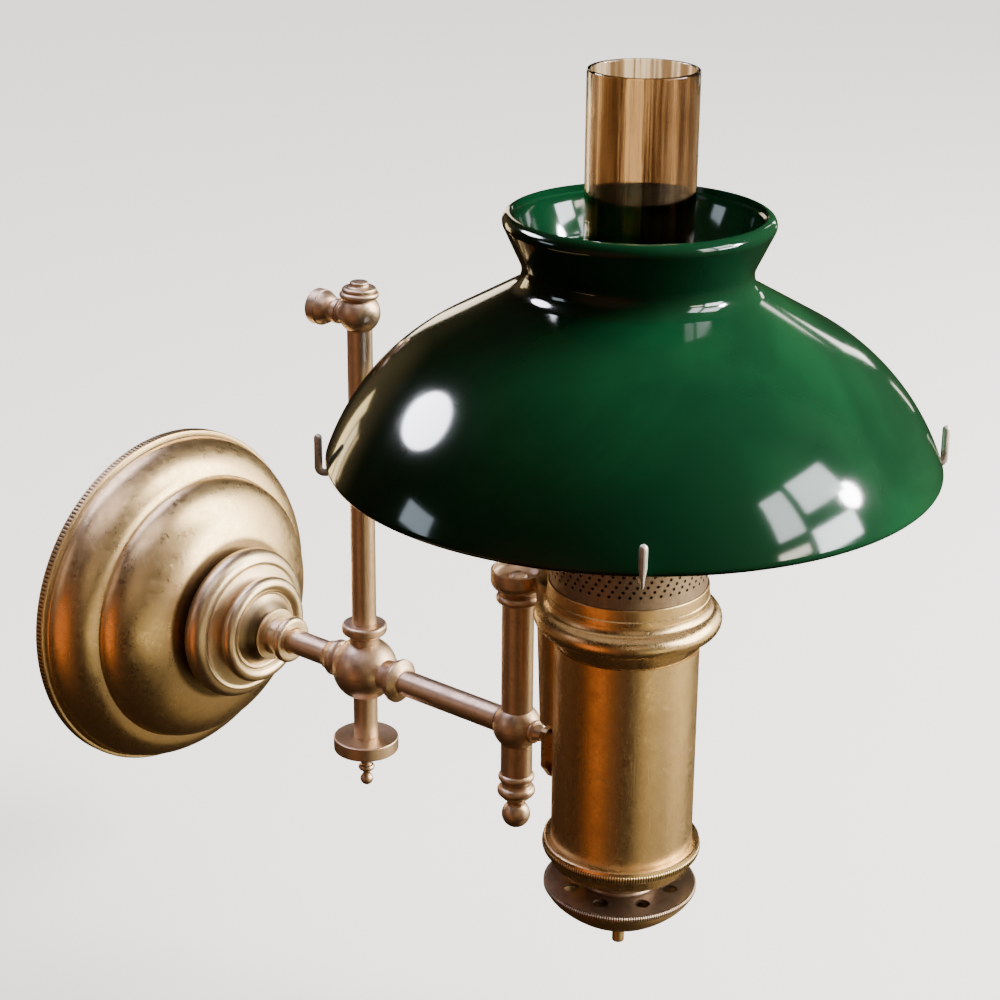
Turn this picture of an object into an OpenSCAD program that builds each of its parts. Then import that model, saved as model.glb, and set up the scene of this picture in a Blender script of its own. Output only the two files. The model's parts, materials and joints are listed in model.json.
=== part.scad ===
// Student lamp on a wall bracket.
// The origin is the centre of the rose's back, on the wall. The arm runs along -Y, +Z is up.
// Heights are counted from the arm's axis.

/* [Layout] */
// Wall to the pivot ball's axis
pivot_reach = 134.6; // [130:0.1:160]
// Pivot ball's axis to the column's axis
column_gap = 92; // [84:0.5:110]
// Column's axis to the lamp's axis
lamp_gap = 59; // [57:0.5:70]

/* [Wall rose] */
// Radius of the rose's rim
rose_r = 85.5; // [84.5:0.1:100]
// Depth of the rim's edge
rose_rim_depth = 4.3; // [3:0.1:6]
// Depth of the fillet between the rim and the first swell
rose_fillet = 1.8; // [1.4:0.1:4]
// Radius where the first swell starts
rose_swell_r = 82.5; // [77:0.5:84]
// Radius of the second step
rose_step_r = 67.3; // [60:0.5:72]
// Distance of the second step from the wall
rose_step_depth = 24.1; // [20:0.1:28]
// Distance of the boss's seat from the wall
rose_depth = 48; // [43:0.5:54]
// Wall of the spun rose
rose_wall = 1.2; // [0.8:0.1:2]
// Outer radius of the boss's big bead
boss_r = 37.6; // [36.8:0.1:44]
// Radius of the big bead's section
boss_bead_r = 4.2; // [3:0.2:5]
// Radius of the boss's small step
boss_step_r = 32.1; // [31:0.1:33]
// Height of the small step above the boss's seat
boss_step_h = 12.2; // [11.4:0.1:13.4]
// Height of the boss from its seat to the inner bead
boss_height = 18.1; // [17:0.1:21]
// Outer radius of the inner bead
cup_bead_out = 26.5; // [26:0.1:30]
// Radius of the inner bead's section
cup_bead_r = 3.6; // [3:0.2:4.4]
// Radius of the domed disc inside the inner bead
dish_r = 18.6; // [17:0.1:18.9]
// Rise of the domed disc above its edge
dish_rise = 6.5; // [4:0.1:8]
// Length of the wall strap
strap_len = 120; // [110:1:140]
// Width of the wall strap
strap_w = 16; // [14:0.5:24]
// Thickness of the wall strap
strap_t = 3; // [2:0.5:5]
// Distance between the two wall screws
screw_gap = 96; // [80:1:100]
// Radius of a wall screw's hole
screw_hole_r = 2.6; // [2:0.1:3.5]
// Radius of the threaded nipple
nipple_r = 5; // [4:0.1:5.5]

/* [Arms] */
// Radius of the arm tubes
arm_r = 6; // [5:0.1:7]
// Wall of the arm tubes
arm_wall = 1.2; // [0.8:0.1:2]
// Radius of the root collar
root_collar_r = 12.7; // [11:0.1:14]
// Thickness of the root collar
root_collar_t = 1.6; // [1.2:0.1:2.4]
// Radius of the barrel between the root collar and the root flange
root_barrel_r = 9.2; // [8:0.1:10.4]
// Length of the barrel
root_barrel_len = 6.7; // [4:0.1:9]
// Radius of the root flange
root_flange_r = 11.3; // [11:0.1:13]
// Thickness of the root flange
root_flange_t = 4.7; // [3.6:0.1:6]
// Radius of the pivot ball
pivot_ball_r = 15.3; // [14:0.1:17]
// Radius of the bulb where the inner arm meets the pivot ball
neck_bulb_r = 8.8; // [8:0.1:10]
// Length of the inner arm's neck before the pivot ball
inner_neck_len = 7.7; // [7:0.1:14]
// Length of the outer arm's neck beyond the pivot ball
outer_neck_len = 5; // [3:0.2:8]
// Radius of the outer arm's ferrule
ferrule_r = 10.3; // [9:0.1:11]
// Length of the outer arm's ferrule
ferrule_len = 5; // [4:0.2:7]

/* [Post] */
// Radius of the post
post_r = 5.7; // [5:0.1:7]
// Height of the head ball's centre
head_z = 173.5; // [150:0.5:200]
// Radius of the head ball
head_r = 9.4; // [9:0.1:11]
// Radius of the cap's lower ring
cap_ring_r = 8.8; // [8.2:0.1:9]
// Radius of the clamp knob
knob_r = 8.1; // [7:0.1:11]
// Length of the clamp knob
knob_len = 12.8; // [12:0.1:18]
// Drop of the clamp's axis below the head ball's centre
knob_drop = 1.7; // [0:0.1:2]
// Radius of the foot disc
foot_r = 15.4; // [12:0.1:20]
// Height of the foot disc's upper face
foot_z = -35.4; // [-45:0.1:-34.6]
// Thickness of the foot disc
foot_t = 6.6; // [4:0.1:10]
// Radius of the collar on the pivot ball
collar_r = 10.5; // [10:0.1:12]

/* [Column] */
// Radius of the ball under the column
column_ball_r = 10.9; // [10:0.1:12.5]
// Radius of the column's tube
column_r = 7.1; // [6:0.1:8]
// Wall of the column's tube
column_wall = 1.1; // [0.8:0.1:1.6]
// Height of the cup's rim
cup_z = 76; // [60:0.5:78]
// Radius of the cup's rim
cup_r = 11.6; // [10:0.1:14]
// Depth of the cup
cup_depth = 5; // [4:0.1:7]
// Radius of the spindle
spindle_r = 2.5; // [2:0.1:3]
// Radius of the drop finial's ball
drop_r = 6.5; // [5.8:0.1:8]
// Radius of the nut on the spindle's end
nut_r = 4.2; // [3.6:0.1:5]
// Height of the nut on the spindle's end
nut_h = 3.2; // [2:0.1:4]
// Radius of the feed pipe
feed_r = 2; // [1.5:0.1:3]

/* [Font] */
// Radius of the font
font_r = 30.7; // [29:0.1:34]
// Wall of the font
font_wall = 0.9; // [0.7:0.1:1.5]
// Height of the font's lower edge
font_low = -34.4; // [-50:0.1:-20]
// Height of the font's upper edge
font_high = 59.3; // [55:0.1:62]
// Radius of the shoulder's big bead, to its outside
bead_out = 39.5; // [37:0.1:42]
// Radius of the big bead's section
bead_r = 4.8; // [4:0.1:5.5]
// Height of the big bead above the font's upper edge
bead_rise = 12.2; // [11:0.1:14]
// Height of the shoulder's skirt inside the font
skirt_h = 7; // [4:0.5:12]
// Radius of the collar ring
collar_ring_r = 34.2; // [33.6:0.1:35]
// Height of the collar ring
collar_ring_h = 9.8; // [8:0.1:12]
// Radius of the base ring
base_r = 34.5; // [33.5:0.1:38]
// Height of the base ring
base_h = 11; // [9:0.1:14]
// Radius of the filler chute at its mouth
chute_top_r = 14.6; // [13:0.1:15.5]
// Radius of the filler chute at its foot
chute_foot_r = 12.2; // [10:0.1:13]
// Height of the filler chute's mouth
chute_z = 79; // [70:0.5:84]
// Wall of the filler chute
chute_wall = 0.9; // [0.7:0.1:1.5]
// Width of the font's flange plate
flange_w = 30; // [26:0.5:36]
// Height of the font's flange plate
flange_h = 24.4; // [20:0.2:30]
// Thickness of the font's flange plate
flange_t = 2.8; // [2:0.1:4]

/* [Drip cup] */
// Radius of the drip cup
drip_r = 33.6; // [30:0.1:38]
// Height of the drip cup's perforated face
drip_z = -55.5; // [-60:0.1:-52]
// Depth of the drip cup
drip_depth = 18; // [14:0.5:24]
// Radius of the drip cup's neck
drip_neck_r = 16; // [13:0.2:18]
// Height of the drip cup's neck
drip_neck_h = 11.5; // [9:0.5:14]
// Number of air holes
drip_holes = 8; // [4:1:10]
// Radius of an air hole
drip_hole_r = 3.4; // [2:0.1:4]
// Distance of the air holes from the axis
drip_hole_ring = 23.2; // [21:0.1:25]
// Length of the pin under the drip cup
drip_pin_len = 10.3; // [8:0.1:20]
// Radius of the pin under the drip cup
drip_pin_r = 2.7; // [2:0.1:4]

/* [Burner] */
// Outer radius of the draught tube
draught_r = 10.4; // [9.5:0.1:10.6]
// Wall of the draught tube
draught_wall = 0.9; // [0.6:0.1:1.2]
// Height of the burner's rim
burner_z = 112; // [108:0.5:118]
// Thickness of the wick
wick_t = 1.8; // [1.2:0.1:2]
// Outer radius of the wick tube
wick_tube_r = 14.8; // [14.6:0.1:15]
// Wall of the wick tube
wick_tube_wall = 0.8; // [0.6:0.1:0.9]
// Rise of the wick over the gallery's whole turn
wick_rise = 12; // [8:0.5:12]
// Turn of the gallery, in degrees
gallery_turn = 300; // [240:10:300]
// Radius of the lift pin
lift_pin_r = 1.1; // [0.8:0.1:1.3]
// Radius of the perforated gallery
gallery_r = 32.9; // [32.4:0.1:33.2]
// Wall of the perforated gallery
gallery_wall = 0.8; // [0.6:0.1:1.2]
// Height of the gallery's upper face
gallery_z = 104; // [102:0.5:108]
// Number of holes in one row round the gallery
mesh_count = 48; // [24:1:56]
// Number of rows of holes
mesh_rows = 5; // [2:1:5]
// Radius of a hole in the gallery
mesh_hole_r = 0.55; // [0.3:0.05:0.8]
// Distance between two rows of holes
mesh_pitch = 2.2; // [1.8:0.1:2.3]
// Number of spring fingers round the chimney
finger_count = 8; // [4:1:12]

/* [Shade] */
// Outer radius of the shade's rim
shade_r = 125.7; // [120:0.1:127]
// Height of the shade's rim
shade_z = 141; // [134:0.5:146]
// Radius of the dome's curve
dome_r = 96; // [90:0.5:104]
// Steepness of the cone above the dome, in degrees from upright
cone_angle = 60.5; // [56:0.5:64]
// Outer radius of the neck
neck_r = 46.2; // [44:0.1:52]
// Radius of the neck's hollow curve
neck_curve = 9; // [5:0.5:11]
// Lean of the neck's flare, in degrees from upright
flare_angle = 25; // [18:0.5:30]
// Outer radius of the lip
lip_r = 54.1; // [53:0.1:58]
// Radius of the lip's rounding
lip_bead = 3.9; // [3.4:0.1:4.4]
// Thickness of the shade's glass
shade_t = 3.2; // [2.4:0.1:3.4]
// Width of a shade arm
hook_w = 3.4; // [2.6:0.1:5]
// Thickness of a shade arm
hook_t = 3; // [2:0.1:3.4]
// Height of a hook above its foot
hook_h = 17.3; // [12:0.1:24]
// Depth of the keel under a hook's foot
hook_keel = 1.1; // [0.4:0.1:1.6]
// Thickness of a hook at its tip
hook_tip = 1.4; // [1:0.1:2]

/* [Chimney] */
// Outer radius of the chimney
chimney_r = 22; // [20:0.1:23]
// Outer radius of the chimney's foot
chimney_foot_r = 25.5; // [24.5:0.1:26.5]
// Height of the bulb at the chimney's foot
bulb_h = 30; // [20:1:50]
// Length of the taper between the bulb and the chimney's tube
taper_len = 12; // [8:0.5:20]
// Height of the chimney's top
chimney_z = 300; // [280:1:320]
// Thickness of the chimney's glass
chimney_t = 1.6; // [1.2:0.1:2.2]

/* [Clearances] */
// Running fit on a radius
running = 0.05; // [0.02:0.01:0.1]
// Gap at a loose seat or beside a moving face
seat = 0.3; // [0.2:0.05:0.5]
// Gap between the two halves of a ball
parting = 0.1; // [0.05:0.05:0.3]

/* [Hidden] */
$fn = 96;

brass = "#a9825a";
dark_brass = "#7d5a38";
steel = "#8f8880";

pivot_y = -pivot_reach;
column_y = pivot_y - column_gap;
lamp_y = column_y - lamp_gap;

// Points of an arc about a centre, in profile coordinates
function arc(c, r, a0, a1, n = 10) =
  [for (i = [0:n]) let (a = a0 + (a1 - a0) * i / n) [c[0] + r * cos(a), c[1] + r * sin(a)]];
// Points of a smooth cove or swell between two points, with the given end slopes
function bend(p, q, d, e, n = 12) =
  [for (i = [0:n]) let (t = i / n, a = 2*t*t*t - 3*t*t + 1, b = t*t*t - 2*t*t + t,
    f = -2*t*t*t + 3*t*t, g = t*t*t - t*t) a * p + b * d + f * q + g * e];

// Turns a profile of (distance from the wall) along the arm's axis
module on_arm() { rotate([90, 0, 0]) children(); }
module at_pivot() { translate([0, pivot_y, 0]) children(); }
module at_column() { translate([0, column_y, 0]) children(); }
module at_lamp() { translate([0, lamp_y, 0]) children(); }
// A body of revolution from a profile of (radius, height)
module turned(points) { rotate_extrude($fn = 96) polygon(points); }
module tube(r, wall, z0, z1) {
  translate([0, 0, z0]) difference() {
    cylinder(r = r, h = z1 - z0);
    translate([0, 0, -1]) cylinder(r = r - wall, h = z1 - z0 + 2);
  }
}
// Half of the space, above or below the arm's axis, less half of the parting gap
module upper_space(size) { translate([-size, -size, parting / 2]) cube([2*size, 2*size, 2*size]); }
module lower_space(size) { mirror([0, 0, 1]) upper_space(size); }

// Wall end

module wall_strap() {
  color(steel) difference() {
    on_arm() linear_extrude(strap_t) difference() {
      union() {
        square([strap_len - strap_w, strap_w], center = true);
        for (s = [-1, 1]) translate([s * (strap_len - strap_w) / 2, 0]) circle(d = strap_w);
      }
      circle(r = nipple_r);
    }
    for (s = [-1, 1]) translate([s * screw_gap / 2, 1, 0]) on_arm() {
      cylinder(r = screw_hole_r, h = strap_t + 2);
    }
  }
}

cup_base_z = rose_depth + boss_height - cup_bead_r;
dish_z = cup_base_z + 6;
root_z = dish_z + dish_rise;
module wall_nipple() { color(steel) on_arm() tube(nipple_r, 1.4, 0, root_z); }

boss_seat_r = boss_r - 2 * boss_bead_r;
module wall_rose() {
  w = rose_wall;
  rim = rose_rim_depth;
  fil = rim + rose_fillet;
  outer = concat(
    [[rose_r, 0]], arc([rose_r - 0.8, rim - 0.8], 0.8, 0, 90, 4),
    [[rose_swell_r + 1.4, rim], [rose_swell_r + 0.6, rim + 0.4 * rose_fillet],
    [rose_swell_r + 0.2, fil - 0.3 * rose_fillet]],
    bend([rose_swell_r, fil], [rose_step_r, rose_step_depth], [3, 16], [-26, 3]),
    bend([rose_step_r - 0.6, rose_step_depth + 0.6], [boss_seat_r + 7, rose_depth - 1.5],
      [1, 30], [-38, 2]),
    [[boss_seat_r, rose_depth]]);
  inner = concat(
    [[boss_seat_r, rose_depth - w], [boss_seat_r + 7, rose_depth - 1.5 - w]],
    bend([boss_seat_r + 7, rose_depth - 1.6 - w], [rose_step_r - 0.6 - w, rose_step_depth],
      [38, -2], [-1, -28]),
    bend([rose_step_r - w, rose_step_depth - w], [rose_swell_r - w, fil], [26, -3], [-3, -16]),
    [[rose_swell_r + 0.5 - w, rim], [rose_r - rim, w], [rose_r - rim, 0]]);
  hub = [[nipple_r, rose_depth - w], [boss_seat_r, rose_depth - w], [boss_seat_r, rose_depth],
    [nipple_r, rose_depth]];
  color(brass) on_arm() {
    rotate_extrude($fn = 128) {
      polygon(concat(outer, inner));
      polygon(hub);
    }
  }
}

boss_cove_r = cup_bead_out - cup_bead_r;
module rose_boss() {
  b = boss_bead_r;
  c = boss_r - b;
  z0 = rose_depth;
  step_z = z0 + boss_step_h;
  top = cup_base_z;
  color(brass) on_arm() turned(concat(
    [[nipple_r, z0], [c - b * 0.3, z0]],
    arc([c, z0 + b + 0.4], b, -110, 110, 18),
    [[boss_step_r, z0 + 2 * b + 0.5], [boss_step_r, step_z - 0.4], [boss_step_r - 0.4, step_z]],
    bend([boss_step_r - 1.2, step_z], [boss_cove_r, top], [-6, 0.3], [-1, 2], 8),
    [[nipple_r, top]]));
}

module rose_cup() {
  c = cup_bead_out - cup_bead_r;
  z0 = cup_base_z;
  edge = dish_z - 0.8;
  color(brass) on_arm() turned(concat(
    [[nipple_r, z0], [c - 1, z0]],
    arc([c, z0 + cup_bead_r + 0.8], cup_bead_r, -70, 190, 18),
    [[c - cup_bead_r, z0 + 1.6], [dish_r - 0.2, z0 + 1.6], [dish_r - 0.2, edge]],
    [[dish_r + 0.7, edge], [dish_r + 0.7, dish_z], [dish_r, dish_z]],
    bend([dish_r - 0.6, dish_z - 0.2], [root_barrel_r - 1, root_z], [-8, 6], [-8, 1.6], 10),
    [[nipple_r, root_z]]));
}

flange_z = root_z + root_collar_t + root_barrel_len;
module root_collar() {
  r = root_collar_r;
  b = root_barrel_r;
  e = 0.4;
  top = root_z + root_collar_t;
  color(brass) on_arm() turned(concat(
    [[arm_r, root_z]], arc([r - e, root_z + e], e, -90, 0, 4), arc([r - e, top - e], e, 0, 90, 4),
    [[b + 0.5, top + 0.2], [b, top + 0.8], [b - 0.5, flange_z - 1.6], [b - 0.2, flange_z]],
    [[arm_r, flange_z]]));
}

module root_flange() {
  r = root_flange_r;
  e = root_flange_t * 0.42;
  color(brass) on_arm() turned(concat(
    [[arm_r, flange_z]], arc([r - e, flange_z + e], e, -90, 0, 6),
    arc([r - e, flange_z + root_flange_t - e], e, 0, 78, 6),
    [[arm_r + 0.7, flange_z + root_flange_t], [arm_r, flange_z + root_flange_t - 0.5]]));
}

// Pivot ball

neck_start = pivot_reach - pivot_ball_r - inner_neck_len;
module inner_arm() { color(brass) on_arm() tube(arm_r, arm_wall, root_z, neck_start + 5); }

module pivot_ball_lower() {
  r = pivot_ball_r;
  bulb = neck_bulb_r;
  color(brass) difference() {
    union() {
      at_pivot() intersection() {
        sphere(r = r);
        lower_space(2 * r);
      }
      difference() {
        on_arm() turned(concat([[0, neck_start], [arm_r + 0.6, neck_start]],
          bend([arm_r + 0.9, neck_start + 0.4], [bulb, neck_start + 5], [0.4, 4], [1, 1.6], 8),
          arc([bulb - 2.4, neck_start + 6], 2.4, 0, 70, 5),
          [[bulb - 2.2, pivot_reach - r * 0.7], [0, pivot_reach - r * 0.7]]));
        at_pivot() intersection() {
          sphere(r = r + seat);
          translate([0, 0, -parting]) upper_space(2 * r);
        }
        on_arm() translate([0, 0, neck_start - 1]) cylinder(r = arm_r, h = 6);
      }
    }
    at_pivot() translate([0, 0, -2 * r]) cylinder(r = post_r + running, h = 4 * r);
  }
}

ferrule_y = pivot_reach + pivot_ball_r + outer_neck_len;
module pivot_ball_upper() {
  r = pivot_ball_r;
  color(brass) difference() {
    union() {
      at_pivot() intersection() {
        sphere(r = r);
        upper_space(2 * r);
      }
      at_pivot() translate([0, 0, r * 0.7]) cylinder(r = post_r + 1.4, h = r * 0.3 + 1.2);
      difference() {
        on_arm() turned(concat([[0, pivot_reach + r * 0.7]],
          bend([arm_r + 1.6, pivot_reach + r * 0.7], [ferrule_r - 1.8, ferrule_y - 1.4],
            [-0.6, 6], [2, 1], 8),
          arc([ferrule_r - 1.6, ferrule_y - 0.7], 0.7, -60, 90, 5), [[0, ferrule_y]]));
        at_pivot() intersection() {
          sphere(r = r + seat);
          translate([0, 0, parting]) lower_space(2 * r);
        }
      }
    }
    at_pivot() translate([0, 0, -2 * r]) cylinder(r = post_r + running, h = 4 * r);
  }
}

collar_low = pivot_ball_r + 1.2;
module pivot_collar() {
  r = collar_r;
  bore = post_r + running;
  color(brass) at_pivot() turned(concat(
    [[bore, collar_low], [bore + 1.2, collar_low], [r - 1.6, collar_low + 1.9]],
    arc([r - 1.5, collar_low + 3.4], 1.5, -70, 0, 5),
    arc([r - 1.5, collar_low + 5.3], 1.5, 0, 90, 5),
    [[bore, collar_low + 6.8]]));
}

// Post

head_low = head_z - sqrt(head_r * head_r - post_r * post_r);
module post_rod() {
  color(brass) at_pivot() translate([0, 0, foot_z]) cylinder(r = post_r, h = head_low - foot_z);
}

module post_foot() {
  r = foot_r;
  e = 0.7;
  z1 = foot_z;
  z0 = foot_z - foot_t;
  color(brass) at_pivot() turned(concat([[0, z0]], arc([r - e, z0 + e], e, -90, 0, 4),
    arc([r - e, z1 - e], e, 0, 90, 4), [[0, z1]]));
}

module post_finial() {
  z0 = foot_z - foot_t;
  color(brass) at_pivot() turned(concat(
    [[0, z0], [3.2, z0], [2.6, z0 - 3], [2.4, z0 - 8.2]],
    arc([2.3, z0 - 10], 1.6, 80, -80, 8),
    [[1.9, z0 - 12.2], [1.7, z0 - 13.4]],
    arc([0, z0 - 16.4], 3.1, 55, -90, 10)));
}

stub_r = 5.6;
stub_y = head_r + 4.7;
// Turns a profile along the clamp's axis, seen from the head ball's centre
module on_clamp() { translate([0, 0, -knob_drop]) rotate([-90, 0, 0]) children(); }
module post_head() {
  top = sqrt(head_r * head_r - pow(cap_ring_r - 2.2, 2));
  color(brass) at_pivot() translate([0, 0, head_z]) difference() {
    union() {
      intersection() {
        sphere(r = head_r);
        translate([0, 0, (top + head_low - head_z) / 2]) {
          cube([4 * head_r, 4 * head_r, top - head_low + head_z], center = true);
        }
      }
      on_clamp() turned(concat([[0, head_r * 0.6], [stub_r - 0.8, head_r * 0.6]],
        arc([stub_r - 0.8, stub_y - 3.8], 0.5, -90, 90, 6),
        [[stub_r - 1.1, stub_y - 3.2], [stub_r - 0.8, stub_y - 3]],
        arc([stub_r - 0.6, stub_y - 2.4], 0.6, -90, 0, 4),
        arc([stub_r - 0.6, stub_y - 0.6], 0.6, 0, 90, 4), [[0, stub_y]]));
    }
    on_clamp() translate([0, 0, head_r * 0.3]) {
      cylinder(r = spindle_r + running, h = head_r + stub_y);
    }
  }
}

module post_cap() {
  z0 = head_z + sqrt(head_r * head_r - pow(cap_ring_r - 2.2, 2));
  r = cap_ring_r;
  color(brass) at_pivot() turned(concat([[0, z0], [r - 2.2, z0]],
    arc([r - 1.6, z0 + 1.6], 1.6, -80, 75, 10),
    arc([r - 2.4, z0 + 3.9], 1.3, -50, 78, 8),
    [[r - 3.9, z0 + 5.3]], bend([4.8, z0 + 5.4], [4.1, z0 + 6.8], [-1.6, 0.2], [0.2, 1.4], 5),
    arc([3.4, z0 + 6.9], 0.7, 10, 80, 4), [[0, z0 + 7.6]]));
}

module clamp_knob() {
  y0 = stub_y + seat;
  r = knob_r;
  rim = y0 + 6.8;
  end = y0 + knob_len;
  color(brass) at_pivot() translate([0, 0, head_z]) on_clamp() turned(concat(
    [[0, head_r * 0.3 + seat], [spindle_r, head_r * 0.3 + seat], [spindle_r, y0]],
    [[spindle_r + 0.6, y0], [spindle_r + 0.6, y0 + 1.4]],
    bend([spindle_r + 1, y0 + 1.6], [r - 0.6, rim - 0.4], [6, 0.4], [1.4, 6], 10),
    [[r - 0.5, rim], [r, rim + 0.5], [r, rim + 4.4]],
    bend([r - 0.3, rim + 5], [0, end], [-1, 1.2], [-7, 0], 8)));
}

// Outer arm

module outer_ferrule() {
  r = ferrule_r;
  z1 = ferrule_y + ferrule_len;
  color(brass) on_arm() turned(concat([[arm_r, ferrule_y], [r - 1.6, ferrule_y]],
    arc([r - 0.8, ferrule_y + 1.2], 0.8, -90, 0, 4), [[r, ferrule_y + 2.2]],
    [[r - 0.5, ferrule_y + 2.7], [arm_r + 1.2, z1 - 0.4], [arm_r, z1]]));
}

outer_arm_end = pivot_reach + column_gap;
module outer_arm() {
  color(brass) difference() {
    on_arm() tube(arm_r, arm_wall, ferrule_y, outer_arm_end - column_ball_r * 0.7);
    at_column() sphere(r = column_ball_r);
    at_column() intersection() {
      sphere(r = column_ball_r + seat);
      translate([0, 0, -parting]) upper_space(2 * column_ball_r);
    }
  }
}

// Column ball and column

column_foot = sqrt(pow(column_ball_r, 2) - pow(column_r, 2));
module column_ball_lower() {
  r = column_ball_r;
  color(brass) at_column() difference() {
    intersection() {
      sphere(r = r);
      lower_space(2 * r);
      translate([-r, -r, -column_foot]) cube([2 * r, 2 * r, 2 * r]);
    }
    translate([0, 0, -2 * r]) cylinder(r = spindle_r, h = 4 * r);
  }
}

ring_1_z = -25.4;
ring_2_z = -32.3;
column_low = -36;
module column_lower() {
  c = column_r;
  bore = c - column_wall;
  color(brass) at_column() turned(concat(
    [[bore, -column_foot], [c, -column_foot], [c, ring_1_z + 2.4]],
    arc([c - 0.9, ring_1_z], 2, 65, -65, 8), [[c - 0.4, ring_1_z - 2.6]],
    [[c - 0.4, ring_2_z + 3.2]], arc([c - 1.1, ring_2_z], 2.6, 65, -65, 10),
    [[c - 1.4, column_low], [bore, column_low]]));
}

drop_z = -44.4;
module drop_finial() {
  neck = 4;
  color(brass) at_column() difference() {
    turned(concat([[0, column_low], [column_r - 1.6, column_low], [neck + 0.6, column_low - 1.2],
      [neck, column_low - 2.6]], arc([0, drop_z], drop_r, 50, -90, 14)));
    translate([0, 0, column_low - 4]) cylinder(r = spindle_r, h = 5);
  }
}

cup_floor = cup_z - cup_depth;
nut_low = cup_floor + seat;
module column_spindle() {
  color(steel) at_column() translate([0, 0, column_low - 4]) {
    cylinder(r = spindle_r, h = nut_low + nut_h * 0.6 - column_low + 4);
  }
}

module spindle_nut() {
  color(brass) at_column() difference() {
    translate([0, 0, nut_low]) turned(concat([[0, 0], [nut_r, 0], [nut_r, nut_h * 0.35]],
      bend([nut_r - 0.2, nut_h * 0.42], [0, nut_h], [-0.6, 2], [-5, 0], 8)));
    translate([0, 0, cup_floor]) cylinder(r = spindle_r, h = seat + nut_h * 0.6);
  }
}

// Lamp side of the column

feed_neck_end = column_ball_r + 4;
module column_ball_upper() {
  r = column_ball_r;
  at = outer_arm_end;
  color(brass) difference() {
    union() {
      at_column() intersection() {
        sphere(r = r);
        upper_space(2 * r);
        translate([-r, -r, column_foot - 2 * r]) cube([2 * r, 2 * r, 2 * r]);
      }
      difference() {
        on_arm() turned(concat([[0, at + r * 0.8], [4.6, at + r * 0.8]],
          arc([4.2, at + r - 0.6], 1.2, -40, 90, 6),
          bend([4, at + r + 0.8], [feed_r + 0.9, at + feed_neck_end], [-0.6, 1.6], [-0.8, 2], 6),
          [[0, at + feed_neck_end]]));
        at_column() intersection() {
          sphere(r = r + seat);
          translate([0, 0, parting]) lower_space(2 * r);
        }
      }
    }
    at_column() translate([0, 0, -2 * r]) cylinder(r = spindle_r + running, h = 4 * r);
    on_arm() translate([0, 0, at + r - 3]) cylinder(r = feed_r - 0.6, h = feed_neck_end);
  }
}

torus_z = 62.4;
module column_upper() {
  color(brass) at_column() tube(column_r, column_wall, column_foot, torus_z - 2.4);
}

module column_cup() {
  c = column_r;
  t = 1;
  floor_low = cup_floor - t;
  color(brass) at_column() turned(concat(
    [[spindle_r + running, torus_z - 2.4], [c + 0.2, torus_z - 2.4]],
    arc([c, torus_z], 2.1, -75, 75, 9),
    [[c - 0.2, torus_z + 3], [c + 0.2, torus_z + 4.4]],
    bend([c + 0.6, torus_z + 4.8], [cup_r, cup_z - 2.6], [3, 1.4], [1, 4], 8),
    arc([cup_r - t / 2, cup_z - t / 2], t / 2, 0, 180, 6),
    bend([cup_r - t, cup_z - 2.4], [c + 0.6, cup_floor], [-0.6, -2], [-3, -0.6], 6),
    [[spindle_r + running, cup_floor]]));
}

font_face = -(lamp_y + font_r);
module feed_pipe() {
  color(brass) on_arm() tube(feed_r, 0.6, outer_arm_end + feed_neck_end, font_face - flange_t);
}

flange_cut = 5;
// The flange's outline, drawn in by a margin, with its lower corners cut off
module flange_outline(margin) {
  w = flange_w / 2 - margin;
  h = flange_h / 2 - margin;
  polygon([[-w, h - 1], [-w + 1, h], [w - 1, h], [w, h - 1],
    [w, flange_cut + 1.6 - h], [w - flange_cut, -h], [flange_cut - w, -h],
    [-w, flange_cut + 1.6 - h]]);
}

module font_flange() {
  saddle = 5;
  color(dark_brass) difference() {
    on_arm() {
      translate([0, 0, font_face - flange_t]) linear_extrude(flange_t) flange_outline(0);
      translate([0, 0, font_face - 1]) linear_extrude(saddle) flange_outline(2);
    }
    at_lamp() translate([0, 0, -flange_h]) cylinder(r = font_r, h = 2 * flange_h);
    on_arm() translate([0, 0, font_face - flange_t - 1]) {
      cylinder(r = feed_r - 0.6, h = flange_t + saddle);
    }
  }
}

chute_low = flange_h / 2;

// The chute's cone, drawn in by a margin
module chute_form(margin) {
  translate([0, -font_face, chute_low + margin]) {
    cylinder(r1 = chute_foot_r - margin, r2 = chute_top_r - margin, h = chute_z - chute_low);
  }
}

// Half round trough against the font, closed at its back where it passes the shoulder
module filler_chute() {
  color(dark_brass) difference() {
    chute_form(0);
    difference() {
      chute_form(chute_wall);
      at_lamp() cylinder(r = font_r, h = chute_z);
    }
    at_lamp() cylinder(r = font_r, h = font_high);
    at_lamp() cylinder(r = skirt_r, h = 2 * chute_z);
    at_lamp() translate([0, 0, shoulder_top]) cylinder(r = collar_ring_r, h = chute_z);
  }
}

// Font

module font_shell() {
  color(brass) difference() {
    at_lamp() tube(font_r, font_wall, font_low, font_high);
    // Way from the chute into the font
    at_lamp() translate([0, 0, chute_low + 10]) rotate([-90, 0, 0]) {
      cylinder(r = 5, h = 2 * font_r);
    }
  }
}

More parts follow.
